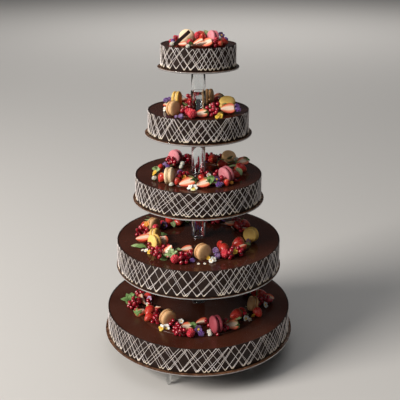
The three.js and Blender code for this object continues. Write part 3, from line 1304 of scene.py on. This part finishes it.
floretFinish = {kind: makeFinish(f"{kind}Floret", floretLook(*hues)) for kind, hues in floretColours.items()}

macaronColours = {  # shell light and dark, foot, filling
    "cream": [colour(243, 219, 182), colour(234, 203, 160), colour(238, 212, 172), colour(226, 196, 150)],
    "yellow": [colour(247, 208, 118), colour(240, 192, 92), colour(244, 202, 108), colour(244, 222, 170)],
    "pink": [colour(222, 138, 146), colour(210, 116, 126), colour(206, 108, 118), colour(150, 34, 44)],
    "beige": [colour(234, 189, 138), colour(224, 171, 116), colour(214, 156, 100), colour(232, 202, 160)],
    "rose": [colour(168, 72, 82), colour(152, 56, 68), colour(138, 42, 58), colour(96, 10, 26)],
}


def macaronFinishes(look):
    light, dark, foot, filling = macaronColours[look]
    shellLook = makeFinish(f"{look}Shell", macaronLook(light, dark))
    footLook = makeFinish(f"{look}Foot", macaronLook(foot, dark, feet=True))
    fillingLook = makeFinish(f"{look}Filling", macaronLook(filling, filling))
    return shellLook, footLook, fillingLook


macaronModels = {look: modelMacaron(f"{look}Macaron", *macaronFinishes(look)) for look in macaronColours}
print("stage: macarons are modelled")

upCut, sideCut = (0, 1, 0), (1, 0, 0)
purples = ["violet", "purple", "violet", "lilac"]
models = {
    "strawberry": modelBerry("strawberry", [], True),
    "bareStrawberry": modelBerry("bareStrawberry", [], False),
    "half": modelBerry("halfStrawberry", [upCut], False),
    "leafyHalf": modelBerry("leafyHalfStrawberry", [upCut], True),
    "wedge": modelBerry("strawberryWedge", [upCut, sideCut], False),
    "raspberry": modelRaspberry(),
    "currant": modelCurrant(),
    "leaf": modelLeaf("mintLeaf", leafGreen),
    # paler leaves: partly grey-green leaves, partly painted highlight
    "paleLeaf": modelLeaf("paleLitMintLeaf", paleAndLitLeafGreen),
    "blossom": modelFlower("blossom", roundPetals(5, 7.5, 8, 1.6, "white"), 1.7),
    "buttercup": modelFlower("buttercup", roundPetals(5, 7, 7.5, 2.2, "yellow"), 1.8),
    "marigold": modelFlower("marigold", roundPetals(9, 8, 5, 2.0, "orange"), 2.2),
    "lilacHead": modelHead("lilacHead", ["lilac", "lilac", "violet"], pollen, 11),
    "purpleHead": modelHead("purpleHead", purples, floretFinish["violet"], 12),
    "whiteHead": modelHead("whiteHead", ["white"], pollen, 13),
    "bar": modelBar(),
}
violaLooks = {  # upper, side and lower petals
    "viola": ("violet", "lilac", "lilac"),
    "mauveViola": ("mauve", "mauve", "white"),
    "darkViola": ("darkViolet", "violet", "darkViolet"),
    "yellowViola": ("white", "yellow", "yellow"),
    "whiteViola": ("white", "white", "lemon"),
    "magentaViola": ("magenta", "mauve", "magenta"),
}
for name, looks in violaLooks.items():
    models[name] = modelFlower(name, violaPetals(*looks), 1.3)
models["sprig"] = modelSprig("mintSprig", models["leaf"])
models["paleSprig"] = modelSprig("paleLitMintSprig", models["paleLeaf"])
print("stage: fruit, leaves and flowers are modelled")


# Laying the pieces on the tiers: an angle runs from the front to the right, a distance from the middle in mm.
# "faces" is the way a piece's own axis looks, from the front to the right, and "tips" lifts that axis.
# "roll" leans the piece sideways, "spin" turns it about its own axis, "lift" is its height over the glaze

def turnTo(faces, tips, roll):
    return (
        Matrix.Rotation(math.radians(faces), 4, "Z")
        @ Matrix.Rotation(math.radians(roll), 4, "Y")
        @ Matrix.Rotation(math.radians(90 - tips), 4, "X")
    )


def pointsOf(piece):
    points = np.empty(len(piece.data.vertices) * 3, np.float32)
    piece.data.vertices.foreach_get("co", points)
    return points.reshape(-1, 3)


def corners(piece):  # lowest and highest corner of a mesh
    points = pointsOf(piece)
    return Vector(map(float, points.min(0))), Vector(map(float, points.max(0)))


def layOn(tier, kind, angle, distance, faces, tips, roll=0, lift=0, size=1, spin=0):
    turn = turnTo(faces, tips, roll) @ Matrix.Rotation(math.radians(spin), 4, "Z")
    piece = copyOf(models[kind], turn @ Matrix.Scale(size, 4))
    low, high = corners(piece)
    around = math.radians(angle)
    place = Vector((math.sin(around), -math.cos(around), 0)) * distance * mm
    place.z = tier["glaze"] + lift * mm - low.z
    piece.data.transform(Matrix.Translation(place))
    return piece


def layOver(node, model, faces, tips, roll=0, size=1):  # puts a piece where the frame holds its solid
    piece = copyOf(model, turnTo(faces, tips, roll) @ Matrix.Scale(size, 4))
    low, high = corners(piece)
    nodeLow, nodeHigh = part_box(node)
    piece.data.transform(Matrix.Translation((nodeLow + nodeHigh) / 2 - (low + high) / 2))
    return piece


# Room for the small pieces: each firm piece is taken as an ellipsoid or, for a macaron, as a drum

def blockerOf(piece, turn, radius, half, isDrum):
    low, high = corners(piece)
    return {
        "centre": np.array((low + high) / 2),
        "inward": np.array(turn.to_3x3().inverted()),
        "reach": np.array((radius, radius, half)),
        "isDrum": isDrum,
    }


def sunkShare(points, blockers):  # share of the points that lie inside a firm piece
    inside = np.zeros(len(points), bool)
    for blocker in blockers:
        own = (points - blocker["centre"]) @ blocker["inward"].T / blocker["reach"]
        flat = own[:, 0] ** 2 + own[:, 1] ** 2
        if blocker["isDrum"]:
            inside |= (flat < 1) & (abs(own[:, 2]) < 1)
        else:
            inside |= flat + own[:, 2] ** 2 < 1
    return inside.mean()


room = {
    "tries": 8,
    "step": 2.5 * mm,
    "rings": 4,
    "rise": 1.8 * mm,
    "rises": 7,
    "allowedFirm": 0.06,
    "allowedLight": 0.1,
    "fromBand": 2 * mm,
    "berryWide": 0.72,
    "berryLong": 0.42,
    "macaronWide": 0.97,
    "macaronThick": 0.92,
}


def giveRoom(piece, blockers, isLight, limit):  # a light piece comes up over others, a firm one steps aside
    points = pointsOf(piece)
    moves = [Vector((0, 0, 0))]
    if isLight:
        moves += [Vector((0, 0, room["rise"] * step)) for step in range(1, room["rises"])]
    for ring in range(1, room["rings"] + 1):
        for number in range(room["tries"]):
            turn = 2 * math.pi * number / room["tries"]
            moves.append(Vector((math.cos(turn), math.sin(turn), 0)) * ring * room["step"])
    allowed = room["allowedLight" if isLight else "allowedFirm"]
    shares = []
    for move in moves:
        moved = points + np.array(move)
        if np.hypot(moved[:, 0], moved[:, 1]).max() > limit:
            shares.append(1)
            continue
        shares.append(sunkShare(moved, blockers))
        if shares[-1] < allowed:
            break
    piece.data.transform(Matrix.Translation(moves[int(np.argmin(shares))]))


# Macarons and strawberries that the frame holds: look or cut, then faces, tips, roll and size

macaronRows = [
    [("cream", -15, 10, 0.96), ("pink", -62, 6, 0.94)],
    [("yellow", 75, 2, 1), ("beige", 50, 8, 0.96), ("yellow", 0, 64, 1.02), ("beige", 84, 4, 1.04)],
    [("pink", -38, 6, 1), ("cream", 78, 4, 1.06), ("pink", -52, -10, 1.06), ("beige", 15, 56, 0.98)],
    [("beige", 48, 6, 1), ("yellow", 70, 12, 0.98), ("yellow", -52, 5, 1), ("beige", 36, 2, 1.06),
     ("yellow", -36, 6, 1)],
    [("beige", 34, -2, 1.08), ("rose", -66, 3, 1.12), ("beige", -78, 14, 1)],
]
strawberryRows = [
    [("wedge", -68, -8, 20, 0.95), ("strawberry", -30, 0, 0, 0.85)],
    [("leafyHalf", -80, -14, 38, 0.95), ("half", -85, -5, 45, 1.08), ("leafyHalf", -62, -20, 45, 1.05)],
    [("leafyHalf", -76, -16, 22, 1.25), ("leafyHalf", -74, -18, 25, 1.12)],
    [("leafyHalf", -150, -5, 35, 1.05), ("half", -60, -10, -15, 1.1)],
    [("leafyHalf", 150, -8, -10, 1.05), ("leafyHalf", -84, 0, 26, 1.0), ("leafyHalf", -82, -5, 40, 1.05)],
]


def berryBlocker(piece, turn, size):
    wide = room["berryWide"] * size * berry["radius"]
    long = room["berryLong"] * size * berry["length"]
    return blockerOf(piece, turn, wide, long, False)


def layFramePieces(number):  # lays a tier's macarons and large strawberries, and tells the room they take
    pieces, rooms = [], []
    for i, (look, faces, tips, size) in enumerate(macaronRows[number - 1], 1):
        node = f"macaron_{number}_{i}"
        piece = layOver(node, macaronModels[look], faces, tips, 0, size)
        pieces.append(finish(piece, f"{look}Macaron_{number}_{i}", (), [node]))
        wide = room["macaronWide"] * size * macaron["radius"]
        thick = room["macaronThick"] * size * macaron["half"]
        rooms.append(blockerOf(piece, turnTo(faces, tips, 0), wide, thick, True))
    for i, (cut, faces, tips, roll, size) in enumerate(strawberryRows[number - 1], 1):
        node = f"strawberry_{number}_{i}"
        piece = layOver(node, models[cut], faces, tips, roll, size)
        pieces.append(finish(piece, f"{cut}Piece_{number}_{i}", (), [node]))
        rooms.append(berryBlocker(piece, turnTo(faces, tips, roll), size))
    return pieces, rooms


framePieces = [layFramePieces(tier["number"]) for tier in tiers]
print("stage: macarons and large strawberries are laid")


# The garlands, listed piece by piece: kind, angle, distance, faces, tips, roll, lift, size, and spin where it
# has one

garlands = [
    [("bar", -40, 65, 92, 41, 0, 1, 1, 82), ("purpleHead", -80, 66, -60, 45, 0, 3, 0.8),
     ("magentaViola", -75, 58, -20, 45, 0, 14, 0.8), ("whiteHead", -60, 77, -50, 40, 0, 0, 0.75),
     ("half", -30, 79, -80, -8, 30, 1, 0.62), ("whiteHead", -18, 83, -5, 40, 0, 0, 0.65),
     ("leaf", -16, 74, -20, 50, 0, 6, 0.6, 20), ("leaf", -12, 78, 40, 35, 0, 6, 0.5, -30),
     ("buttercup", -27, 53, -10, 40, 0, 15, 0.55), ("buttercup", -14, 36, 5, 40, 0, 18, 0.5),
     ("raspberry", -2, 42, -10, 40, 0, 17, 1), ("bareStrawberry", 13, 46, 0, 50, 0, 10, 0.72),
     ("wedge", 25, 48, -60, 50, 20, 13, 0.85), ("wedge", -4, 76, -75, -32, 25, 1, 1),
     ("half", 9, 82, -75, -26, 38, 1, 0.95), ("raspberry", -20, 62, 0, 30, 0, 3, 0.9),
     ("paleLeaf", 50, 30, -85, 52, 0, 20, 0.85, -75), ("whiteHead", 30, 63, 0, 40, 0, 15, 0.5),
     ("strawberry", 57, 77, 100, -15, 0, 1, 0.72), ("darkViola", 99, 62, 30, 40, 0, 16, 1),
     ("purpleHead", 92, 72, 40, 40, 0, 6, 0.75), ("bareStrawberry", 40, 82, -100, -5, 0, 1, 0.55)],
    [("purpleHead", -100, 88, -30, 50, 0, 12, 1), ("purpleHead", -113, 86, -20, 50, 0, 12, 0.9),
     ("blossom", -72, 94, -60, 15, 0, 0, 0.9), ("half", -100, 90, -140, -5, 20, 1, 0.6),
     ("paleLeaf", -50, 46, -20, 40, 10, 14, 0.85), ("leaf", -46, 50, 40, 30, -20, 10, 0.8),
     ("strawberry", -131, 28, -30, 5, 0, 1, 0.85), ("raspberry", -8, 115, -25, 12, 0, 0, 1.3),
     ("raspberry", -14, 98, -70, 15, 0, 3, 1.1), ("lilacHead", -21, 122, -20, 45, 0, 0, 0.82),
     ("lilacHead", -27, 124, -40, 45, 0, 0, 0.55), ("paleLeaf", -137, 56, -40, 50, 0, 5, 0.9, -30),
     ("paleLeaf", 38, 43, 60, 25, -20, 9, 0.6), ("buttercup", 28, 117, 15, 40, 0, 0, 1.15),
     ("buttercup", 24, 118, -15, 50, 0, 0, 0.8), ("purpleHead", 62, 117, 30, 50, 0, 2, 1),
     ("purpleHead", 68, 110, 30, 50, 0, 9, 0.9), ("leaf", 68, 75, 40, 10, 0, 20, 0.6)],
    [("lilacHead", -114, 103, -35, 45, 0, 5, 0.85), ("purpleHead", -109, 91, -10, 45, 0, 3, 0.8),
     ("leaf", -118, 84, 20, 30, -10, 5, 0.9), ("leaf", -112, 86, -60, 15, 10, 2, 0.8),
     ("whiteHead", -137, 66, 0, 40, 0, 7, 0.75), ("whiteHead", -128, 62, -10, 40, 0, 1, 0.65),
     ("bareStrawberry", -104, 111, -60, -10, 0, 1, 0.55), ("paleLeaf", -92, 118, -80, 20, 50, 4, 0.9),
     ("paleLeaf", -84, 114, 60, 40, -50, 5, 0.9), ("paleLeaf", -88, 116, -50, 45, 45, 7, 0.8),
     ("buttercup", -85, 120, -50, 30, 0, 0, 0.9), ("buttercup", -79, 125, -70, 20, 0, 0, 0.8),
     ("whiteHead", -61, 135, -60, 60, 0, 0, 0.8), ("bareStrawberry", -49, 127, -50, -55, 0, 1, 0.78),
     ("whiteHead", -34, 126, -20, 60, 0, 0, 0.7), ("purpleHead", -54, 60, -10, 45, 0, 5, 0.95),
     ("marigold", -22, 102, -10, 50, 0, 15, 0.85), ("raspberry", -31, 64, -30, 30, 0, 2, 1),
     ("bareStrawberry", -29, 122, -20, -55, 0, 1, 0.62), ("leaf", 2, 60, 60, 20, -10, 1, 0.6),
     ("whiteViola", -5, 143, -5, 62, 0, 1, 1.3), ("blossom", -9, 140, -60, 50, 0, 1, 1.1),
     ("buttercup", -2, 116, 10, 50, 0, 4, 0.55), ("bareStrawberry", 7, 72, 40, -5, 0, 1, 0.6),
     ("leaf", 17, 110, 0, 55, 0, 6, 1.25), ("leaf", 19, 119, 25, 20, 0, 6, 1.3),
     ("leaf", 15, 124, -5, -20, 0, 8, 1.2), ("blossom", 19, 84, 10, 20, 0, 14, 0.8),
     ("darkViola", 28, 104, 15, 45, 0, 6, 1.05), ("purpleHead", 23, 135, 15, 50, 0, 0, 1),
     ("lilacHead", 28, 130, 30, 50, 0, 2, 0.6), ("bareStrawberry", 37, 133, 0, -60, 0, 0, 0.55),
     ("marigold", 40, 136, 20, 35, 0, 3, 0.6), ("paleLeaf", 137, 111, -30, 30, 0, 10, 1),
     ("paleLeaf", 122, 106, 10, 45, 0, 18, 1.05, 15), ("whiteHead", 118, 122, 0, 40, 0, 18, 0.7),
     ("leafyHalf", 108, 132, -60, -15, 30, 8, 1), ("paleLeaf", 107, 96, 30, 35, 0, 16, 1.1),
     ("paleLeaf", 88, 98, 70, 15, 0, 18, 1.15), ("paleLeaf", 72, 118, 30, -25, 0, 7, 1.1),
     ("strawberry", 88, 118, 60, -10, 0, 1, 1), ("strawberry", 116, 139, 120, -5, 0, 1, 0.9),
     ("bareStrawberry", 61, 112, 70, -10, 0, 1, 0.9), ("leaf", 125, 140, 100, 15, 0, 6, 0.9),
     ("paleLeaf", 138, 107, -20, 30, 0, 2, 0.8), ("strawberry", 153, 92, -10, 10, 0, 1, 0.95)],
    [("leaf", -121, 167, -60, 40, 0, 14, 1), ("paleLeaf", -119, 169, -90, 25, 0, 11, 0.85),
     ("bareStrawberry", -104, 163, -60, -45, 0, 1, 0.85), ("marigold", -98, 150, -25, 45, 0, 15, 1.1),
     ("buttercup", -94, 155, -60, 35, 0, 3, 1), ("wedge", -83, 137, -80, -10, 20, 5, 0.8),
     ("raspberry", -84, 122, 10, 30, 0, 22, 1), ("half", -71, 163, -82, -8, 12, 3, 1.15),
     ("paleLeaf", -68, 187, -95, 6, 10, 0, 1), ("leaf", -64, 178, -80, 10, 14, 2, 1.1),
     ("leaf", -62, 172, 60, 12, 10, 1, 0.8), ("blossom", -54, 176, -45, 60, 0, 0, 0.8),
     ("blossom", -57, 182, -60, 70, 0, 0, 0.55), ("buttercup", -48, 178, -35, 30, 0, 0, 0.9),
     ("half", -52, 122, -10, -65, -10, 1, 0.95), ("leaf", -89, 102, 85, 5, -10, 5, 0.95),
     ("darkViola", -116, 112, -10, 35, 0, 5, 1.25), ("strawberry", -129, 112, -30, -5, 0, 1, 0.9),
     ("paleLeaf", -129, 95, 20, -30, 0, 3, 0.9), ("bareStrawberry", -140, 94, 30, 0, 0, 1, 0.85),
     ("paleSprig", -24, 176, -15, 58, 0, 12, 0.78), ("leaf", -20, 158, -40, 25, -25, 10, 0.95),
     ("paleLeaf", -21, 148, 75, 5, -20, 8, 0.7), ("leafyHalf", -28, 170, 135, 50, -10, 4, 1),
     ("leaf", -30, 182, -60, 5, 40, 0, 0.85), ("raspberry", -19, 190, -20, 15, 0, 0, 1.25),
     ("half", -15, 124, -75, -8, 15, 2, 0.95), ("purpleHead", -5, 173, -5, 45, 0, 0, 0.8),
     ("blossom", 0, 184, -10, 75, 0, 0, 0.5), ("blossom", 5, 184, 10, 75, 0, 0, 0.5),
     ("blossom", 13, 174, 30, 50, 0, 2, 1.1), ("blossom", 11, 176, -20, 40, 0, 0, 0.9),
     ("buttercup", 9, 167, -5, 40, 0, 5, 0.8), ("lilacHead", 17, 157, 5, 50, 0, 14, 1.1),
     ("lilacHead", 18, 164, 0, 50, 0, 4, 1), ("raspberry", 25, 166, 10, 20, 0, 1, 1.35),
     ("bareStrawberry", 50, 142, -70, -22, 0, 1, 1.05), ("wedge", 31, 122, -20, 55, 20, 8, 0.9),
     ("bareStrawberry", 28, 145, 0, -20, 0, 5, 0.95), ("buttercup", 35, 170, 10, 35, 0, 10, 1),
     ("mauveViola", 71, 154, 40, 25, 0, 0, 0.95), ("paleLeaf", 64, 153, 20, -10, 0, 0, 0.85),
     ("strawberry", 111, 146, 60, -10, 0, 2, 0.95), ("bareStrawberry", 112, 126, 20, -10, 0, 1, 0.9),
     ("leaf", 125, 157, 100, 20, 0, 5, 0.9), ("wedge", 103, 144, 80, 0, -20, 1, 0.8)],
    [("sprig", -88, 202, -30, 82, 0, 4, 1.2), ("leaf", -90, 214, -85, 12, 0, 3, 1.05),
     ("leaf", -83, 201, -40, 10, 0, 3, 0.9), ("wedge", -82, 161, 10, -60, -20, 2, 1),
     ("bareStrawberry", -90, 150, -60, -5, 0, 1, 0.85), ("mauveViola", -82, 145, -10, 30, 0, 9, 0.9),
     ("whiteViola", -73, 150, -20, 55, 0, 7, 1.1), ("blossom", -64, 149, -10, 30, 0, 8, 0.7),
     ("bareStrawberry", -55, 168, -20, -10, 0, 3, 1.05),
     ("bareStrawberry", -49, 184, -40, -12, 0, 0, 0.85), ("wedge", -61, 131, 40, 20, -20, 2, 0.8),
     ("yellowViola", -31, 196, -40, 25, 0, 0, 1), ("whiteViola", -28, 188, -5, 50, 0, 0, 1.25),
     ("blossom", -18, 152, -10, 30, 0, 9, 0.9), ("blossom", -21, 148, -30, 30, 0, 9, 0.6),
     ("leaf", -3, 166, 30, 25, -10, 7, 0.85), ("leaf", -5, 164, 60, 5, -10, 4, 0.8),
     ("raspberry", -6, 204, -10, 12, 0, 0, 1.3), ("wedge", 4, 152, -75, -5, 30, 2, 1.05),
     ("darkViola", 0, 182, -5, 40, 0, 4, 1.2), ("purpleHead", 2, 196, 5, 45, 0, 0, 1.05),
     ("whiteHead", 9, 187, 5, 50, 0, 1, 0.75), ("whiteHead", 9, 199, 0, 60, 0, 0, 0.65),
     ("leaf", 30, 152, -60, 10, 0, 6, 0.6), ("paleLeaf", 41, 165, 60, 25, -20, 8, 0.9),
     ("strawberry", 43, 153, -60, -10, 0, 1, 1.05), ("bareStrawberry", 53, 155, 30, -5, 0, 1, 0.85),
     ("blossom", 48, 178, 40, 30, 0, 0, 1.3), ("blossom", 49, 189, 50, 20, 0, 0, 0.9),
     ("paleLeaf", 55, 164, -20, 10, 0, 4, 0.8), ("buttercup", 56, 184, 30, -10, 0, 2, 0.9),
     ("leaf", 67, 164, -60, 50, 0, 4, 0.8), ("bareStrawberry", 63, 188, 30, -20, 0, 0, 0.9),
     ("strawberry", 92, 188, 80, -10, 0, 1, 1), ("bareStrawberry", 95, 172, 0, 0, 0, 1, 0.9),
     ("half", 89, 200, 60, 5, -30, 1, 0.9), ("blossom", 78, 198, 50, 30, 0, 0, 1.2),
     ("paleLeaf", 84, 187, -60, 10, 0, 3, 0.9)],
]
# Heaps of redcurrants: angle, distance, how far they spread, how many
currantHeaps = [
    [(32, 57, 9, 10), (32, 77, 8, 8), (97, 8, 9, 7), (-42, 25, 8, 6), (-69, 51, 8, 6), (9, 62, 9, 5),
     (90, 50, 18, 10), (-95, 45, 18, 10), (150, 50, 22, 14), (-150, 50, 22, 14)],
    [(-49, 40, 9, 10), (-20, 94, 8, 9), (-19, 84, 8, 9), (53, 51, 8, 6), (23, 99, 8, 10),
     (19, 88, 7, 5), (56, 106, 6, 3), (-96, 85, 5, 3), (-128, 66, 6, 4), (102, 92, 10, 5),
     (120, 84, 16, 9), (160, 60, 18, 10), (-160, 62, 18, 12)],
    [(-136, 115, 9, 10), (-134, 94, 8, 6), (-27, 104, 8, 14), (-31, 86, 7, 6), (-37, 105, 7, 5),
     (-49, 114, 7, 6), (23, 47, 8, 6), (40, 76, 7, 7), (32, 126, 8, 9), (46, 120, 8, 7),
     (-160, 94, 10, 8), (95, 106, 9, 7), (141, 134, 9, 6), (150, 121, 9, 6), (165, 98, 16, 10),
     (-178, 96, 16, 9)],
    [(-92, 166, 9, 15), (-90, 148, 8, 8), (-39, 174, 11, 20), (-34, 184, 9, 9), (-51, 160, 8, 8),
     (-11, 171, 9, 20), (-10, 158, 8, 8), (-14, 185, 7, 5), (18, 170, 4, 2), (28, 178, 7, 8),
     (33, 167, 7, 7), (39, 175, 7, 5), (-40, 136, 9, 6), (127, 138, 10, 9), (104, 134, 9, 8),
     (78, 146, 8, 6), (-111, 136, 9, 6), (155, 122, 16, 10), (-150, 118, 16, 9), (178, 116, 16, 9)],
    [(-89, 173, 10, 14), (-80, 181, 9, 12), (-77, 198, 9, 12), (-72, 190, 7, 6), (-52, 154, 8, 9),
     (-44, 173, 8, 10), (-39, 178, 7, 5), (-27, 167, 8, 10), (-18, 194, 10, 20), (-14, 203, 8, 9),
     (-19, 180, 6, 4), (-2, 160, 7, 5), (14, 197, 8, 4), (24, 172, 6, 3), (23, 186, 6, 3),
     (50, 165, 8, 6), (81, 178, 9, 8), (83, 205, 9, 9), (88, 191, 8, 8), (-74, 146, 7, 6),
     (10, 150, 7, 5), (105, 168, 14, 9), (130, 160, 16, 10), (160, 152, 18, 11), (-110, 170, 14, 9),
     (-130, 160, 16, 10), (-160, 152, 18, 11)],
]


def treeOf(pieces):  # all the pieces as one search tree
    points, faces = [], []
    for piece in pieces:
        start = len(points)
        points.extend(vertex.co.copy() for vertex in piece.data.vertices)
        faces.extend([start + i for i in face.vertices] for face in piece.data.polygons)
    return BVHTree.FromPolygons(points, faces)


heaping = {"sizes": (0.85, 1.1), "offers": 14, "touch": 0.97, "clear": 0.8, "highest": 24 * mm}


def heapCurrants(tier, tree, heaps, draw, laid):  # each berry takes the lowest free place it is offered
    radius = currant["radius"]
    for angle, distance, spread, count in heaps:
        around = math.radians(angle)
        middle = Vector((math.sin(around), -math.cos(around), 0)) * distance * mm
        for _ in range(count):
            size = draw.uniform(*heaping["sizes"])
            offers = []
            for _ in range(heaping["offers"]):
                offset = Vector((draw.gauss(0, 0.5), draw.gauss(0, 0.5), 0)) * spread * mm
                place = middle + offset
                place.z = tier["glaze"] + radius * size
                for other, otherSize in laid:
                    reach = heaping["touch"] * radius * (size + otherSize)
                    flat = (other.xy - place.xy).length
                    if flat < reach:
                        place.z = max(place.z, other.z + math.sqrt(reach ** 2 - flat ** 2))
                if tree.find_nearest(place, heaping["clear"] * radius * size)[0] is None:
                    offers.append(place)
            if offers:
                lowest = min(offers, key=lambda place: place.z)
                if lowest.z < tier["glaze"] + heaping["highest"]:
                    laid.append((lowest, size))


backs = [  # the far side of each garland: distance and its spread, first and last angle, and the step between
    {"distance": 45, "spread": 28, "from": 105, "to": 285, "step": 7},
    {"distance": 70, "spread": 16, "from": 95, "to": 250, "step": 7},
    {"distance": 92, "spread": 16, "from": 105, "to": 225, "step": 7},
    {"distance": 122, "spread": 14, "from": 98, "to": 250, "step": 5},
    {"distance": 154, "spread": 15, "from": 98, "to": 272, "step": 4.5},
]
backFill = {
    "kinds": ["strawberry", "bareStrawberry", "half", "raspberry", "raspberry", "leaf", "blossom", "viola",
              "wedge"],
    "lowKinds": ["strawberry", "bareStrawberry", "half", "wedge"],
    "lowTips": (-12, 5),
    "highTips": (25, 60),
    "rolls": (-20, 20),
    "sizes": (0.8, 1.05),
    "steps": (0.5, 1.3),
    "sunk": 5 * mm,
}
pileSlots = {
    "strawberry": ["strawberry", "bareStrawberry", "half", "leafyHalf", "wedge"],
    "small_fruit": ["raspberry", "currant"],
    "leaf": ["leaf", "paleLeaf", "sprig", "paleSprig"],
    "violet_petal": ["viola", "mauveViola", "darkViola", "magentaViola", "lilacHead", "purpleHead"],
    "yellow_petal": ["yellowViola", "buttercup", "marigold"],
    "white_petal": ["blossom", "whiteViola", "whiteHead"],
    "dark_chocolate": ["bar"],
}
slotOf = {kind: slot for slot, kinds in pileSlots.items() for kind in kinds}
lightSlots = ["leaf", "violet_petal", "yellow_petal", "white_petal"]
piles = {}


def isClear(piece, placed):  # True unless its box runs well into the box of another piece
    low, high = corners(piece)
    for otherLow, otherHigh in map(corners, placed):
        if min(min(high[i], otherHigh[i]) - max(low[i], otherLow[i]) for i in range(3)) >= backFill["sunk"]:
            return False
    return True


def fillBack(tier, placed, draw):  # the far side of a garland, which goes on round the tier
    back = backs[tier["number"] - 1]
    reached = back["from"]
    while reached < back["to"]:
        kind = draw.choice(backFill["kinds"])
        isLow = kind in backFill["lowKinds"]
        distance = back["distance"] + draw.uniform(-1, 1) * back["spread"]
        tips = draw.uniform(*backFill["lowTips" if isLow else "highTips"])
        turned = draw.uniform(-180, 180) if isLow else reached
        roll, size = draw.uniform(*backFill["rolls"]), draw.uniform(*backFill["sizes"])
        piece = layOn(tier, kind, reached, distance, turned, tips, roll, size=size)
        if isClear(piece, placed):
            placed.append(piece)
            piles.setdefault(kind, []).append(piece)
        else:
            bpy.data.objects.remove(piece)
        reached += back["step"] * draw.uniform(*backFill["steps"])


def layGarland(tier, rows, heaps, placed, firm):
    draw = random.Random(100 + tier["number"])
    for row in rows:
        kind, faces, tips, roll, size = row[0], *row[3:6], row[7]
        piece = layOn(tier, *row)
        giveRoom(piece, firm, slotOf[kind] in lightSlots, tier["innerRadius"] - room["fromBand"])
        if slotOf[kind] == "strawberry":
            firm.append(berryBlocker(piece, turnTo(faces, tips, roll), size))
        placed.append(piece)
        piles.setdefault(kind, []).append(piece)
    fillBack(tier, placed, draw)
    laid = []
    heapCurrants(tier, treeOf(placed), heaps, draw, laid)
    for place, size in laid:
        turn = turnTo(draw.uniform(-180, 180), draw.uniform(-60, 60), 0)
        berryPlace = Matrix.Translation(place) @ turn @ Matrix.Scale(size, 4)
        piles.setdefault("currant", []).append(copyOf(models["currant"], berryPlace))
    print("  tier", tier["number"], len(placed), "pieces and", len(laid), "redcurrants")


for tier, rows, heaps, (placed, firm) in zip(tiers, garlands, currantHeaps, framePieces):
    layGarland(tier, rows, heaps, placed, firm)
for kind, pieces in piles.items():
    pile = finish(joinAll(pieces), f"{kind}Pile")
    print("  ", kind, len(pieces), "of", len(pile.data.polygons), "faces in all")


# A low core of ganache under each garland

core = {
    "heapWidth": 54 * mm,
    "width": 11 * mm,
    "height": 4.5 * mm,
    "steps": 72,
    "rings": 12,
    "uneven": 1.2 * mm,
    "mound": 0.62,
    "moundHeight": 9.9 * mm,
    "sunk": 0.2 * mm,
}


def makeCore(tier):
    node = f"fruit_heap_{tier['number']}"
    low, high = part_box(node)
    if tier["number"] == 1:
        radius = core["mound"] * tier["radius"]
        bed = addNew("uv_sphere", segments=48, ring_count=16, radius=radius, location=(0, 0, tier["glaze"]))
        squash = core["moundHeight"] / radius
    else:
        bed = addNew(
            "torus", major_segments=core["steps"], minor_segments=core["rings"],
            major_radius=(high.x - low.x - core["heapWidth"]) / 2, minor_radius=core["width"],
            location=(0, (low.y + high.y) / 2, tier["glaze"]),
        )
        squash = core["height"] / core["width"]
    editFaces(bed)
    bpy.ops.transform.resize(value=(1, 1, squash), center_override=(0, 0, tier["glaze"]))
    bpy.ops.transform.vertex_random(offset=core["uneven"], uniform=0, normal=0, seed=tier["number"])
    base = (0, 0, tier["glaze"] - core["sunk"])
    bpy.ops.mesh.bisect(plane_co=base, plane_no=(0, 0, 1), use_fill=True, clear_inner=True)
    leaveEdit()
    shadeSmooth(bed)
    finish(bed, f"ganacheBed_{tier['number']}", [glaze], [node])


for tier in tiers:
    makeCore(tier)
for model in (*models.values(), *macaronModels.values()):
    if model.name in bpy.data.objects:
        bpy.data.objects.remove(model)
print("stage: garlands are laid")
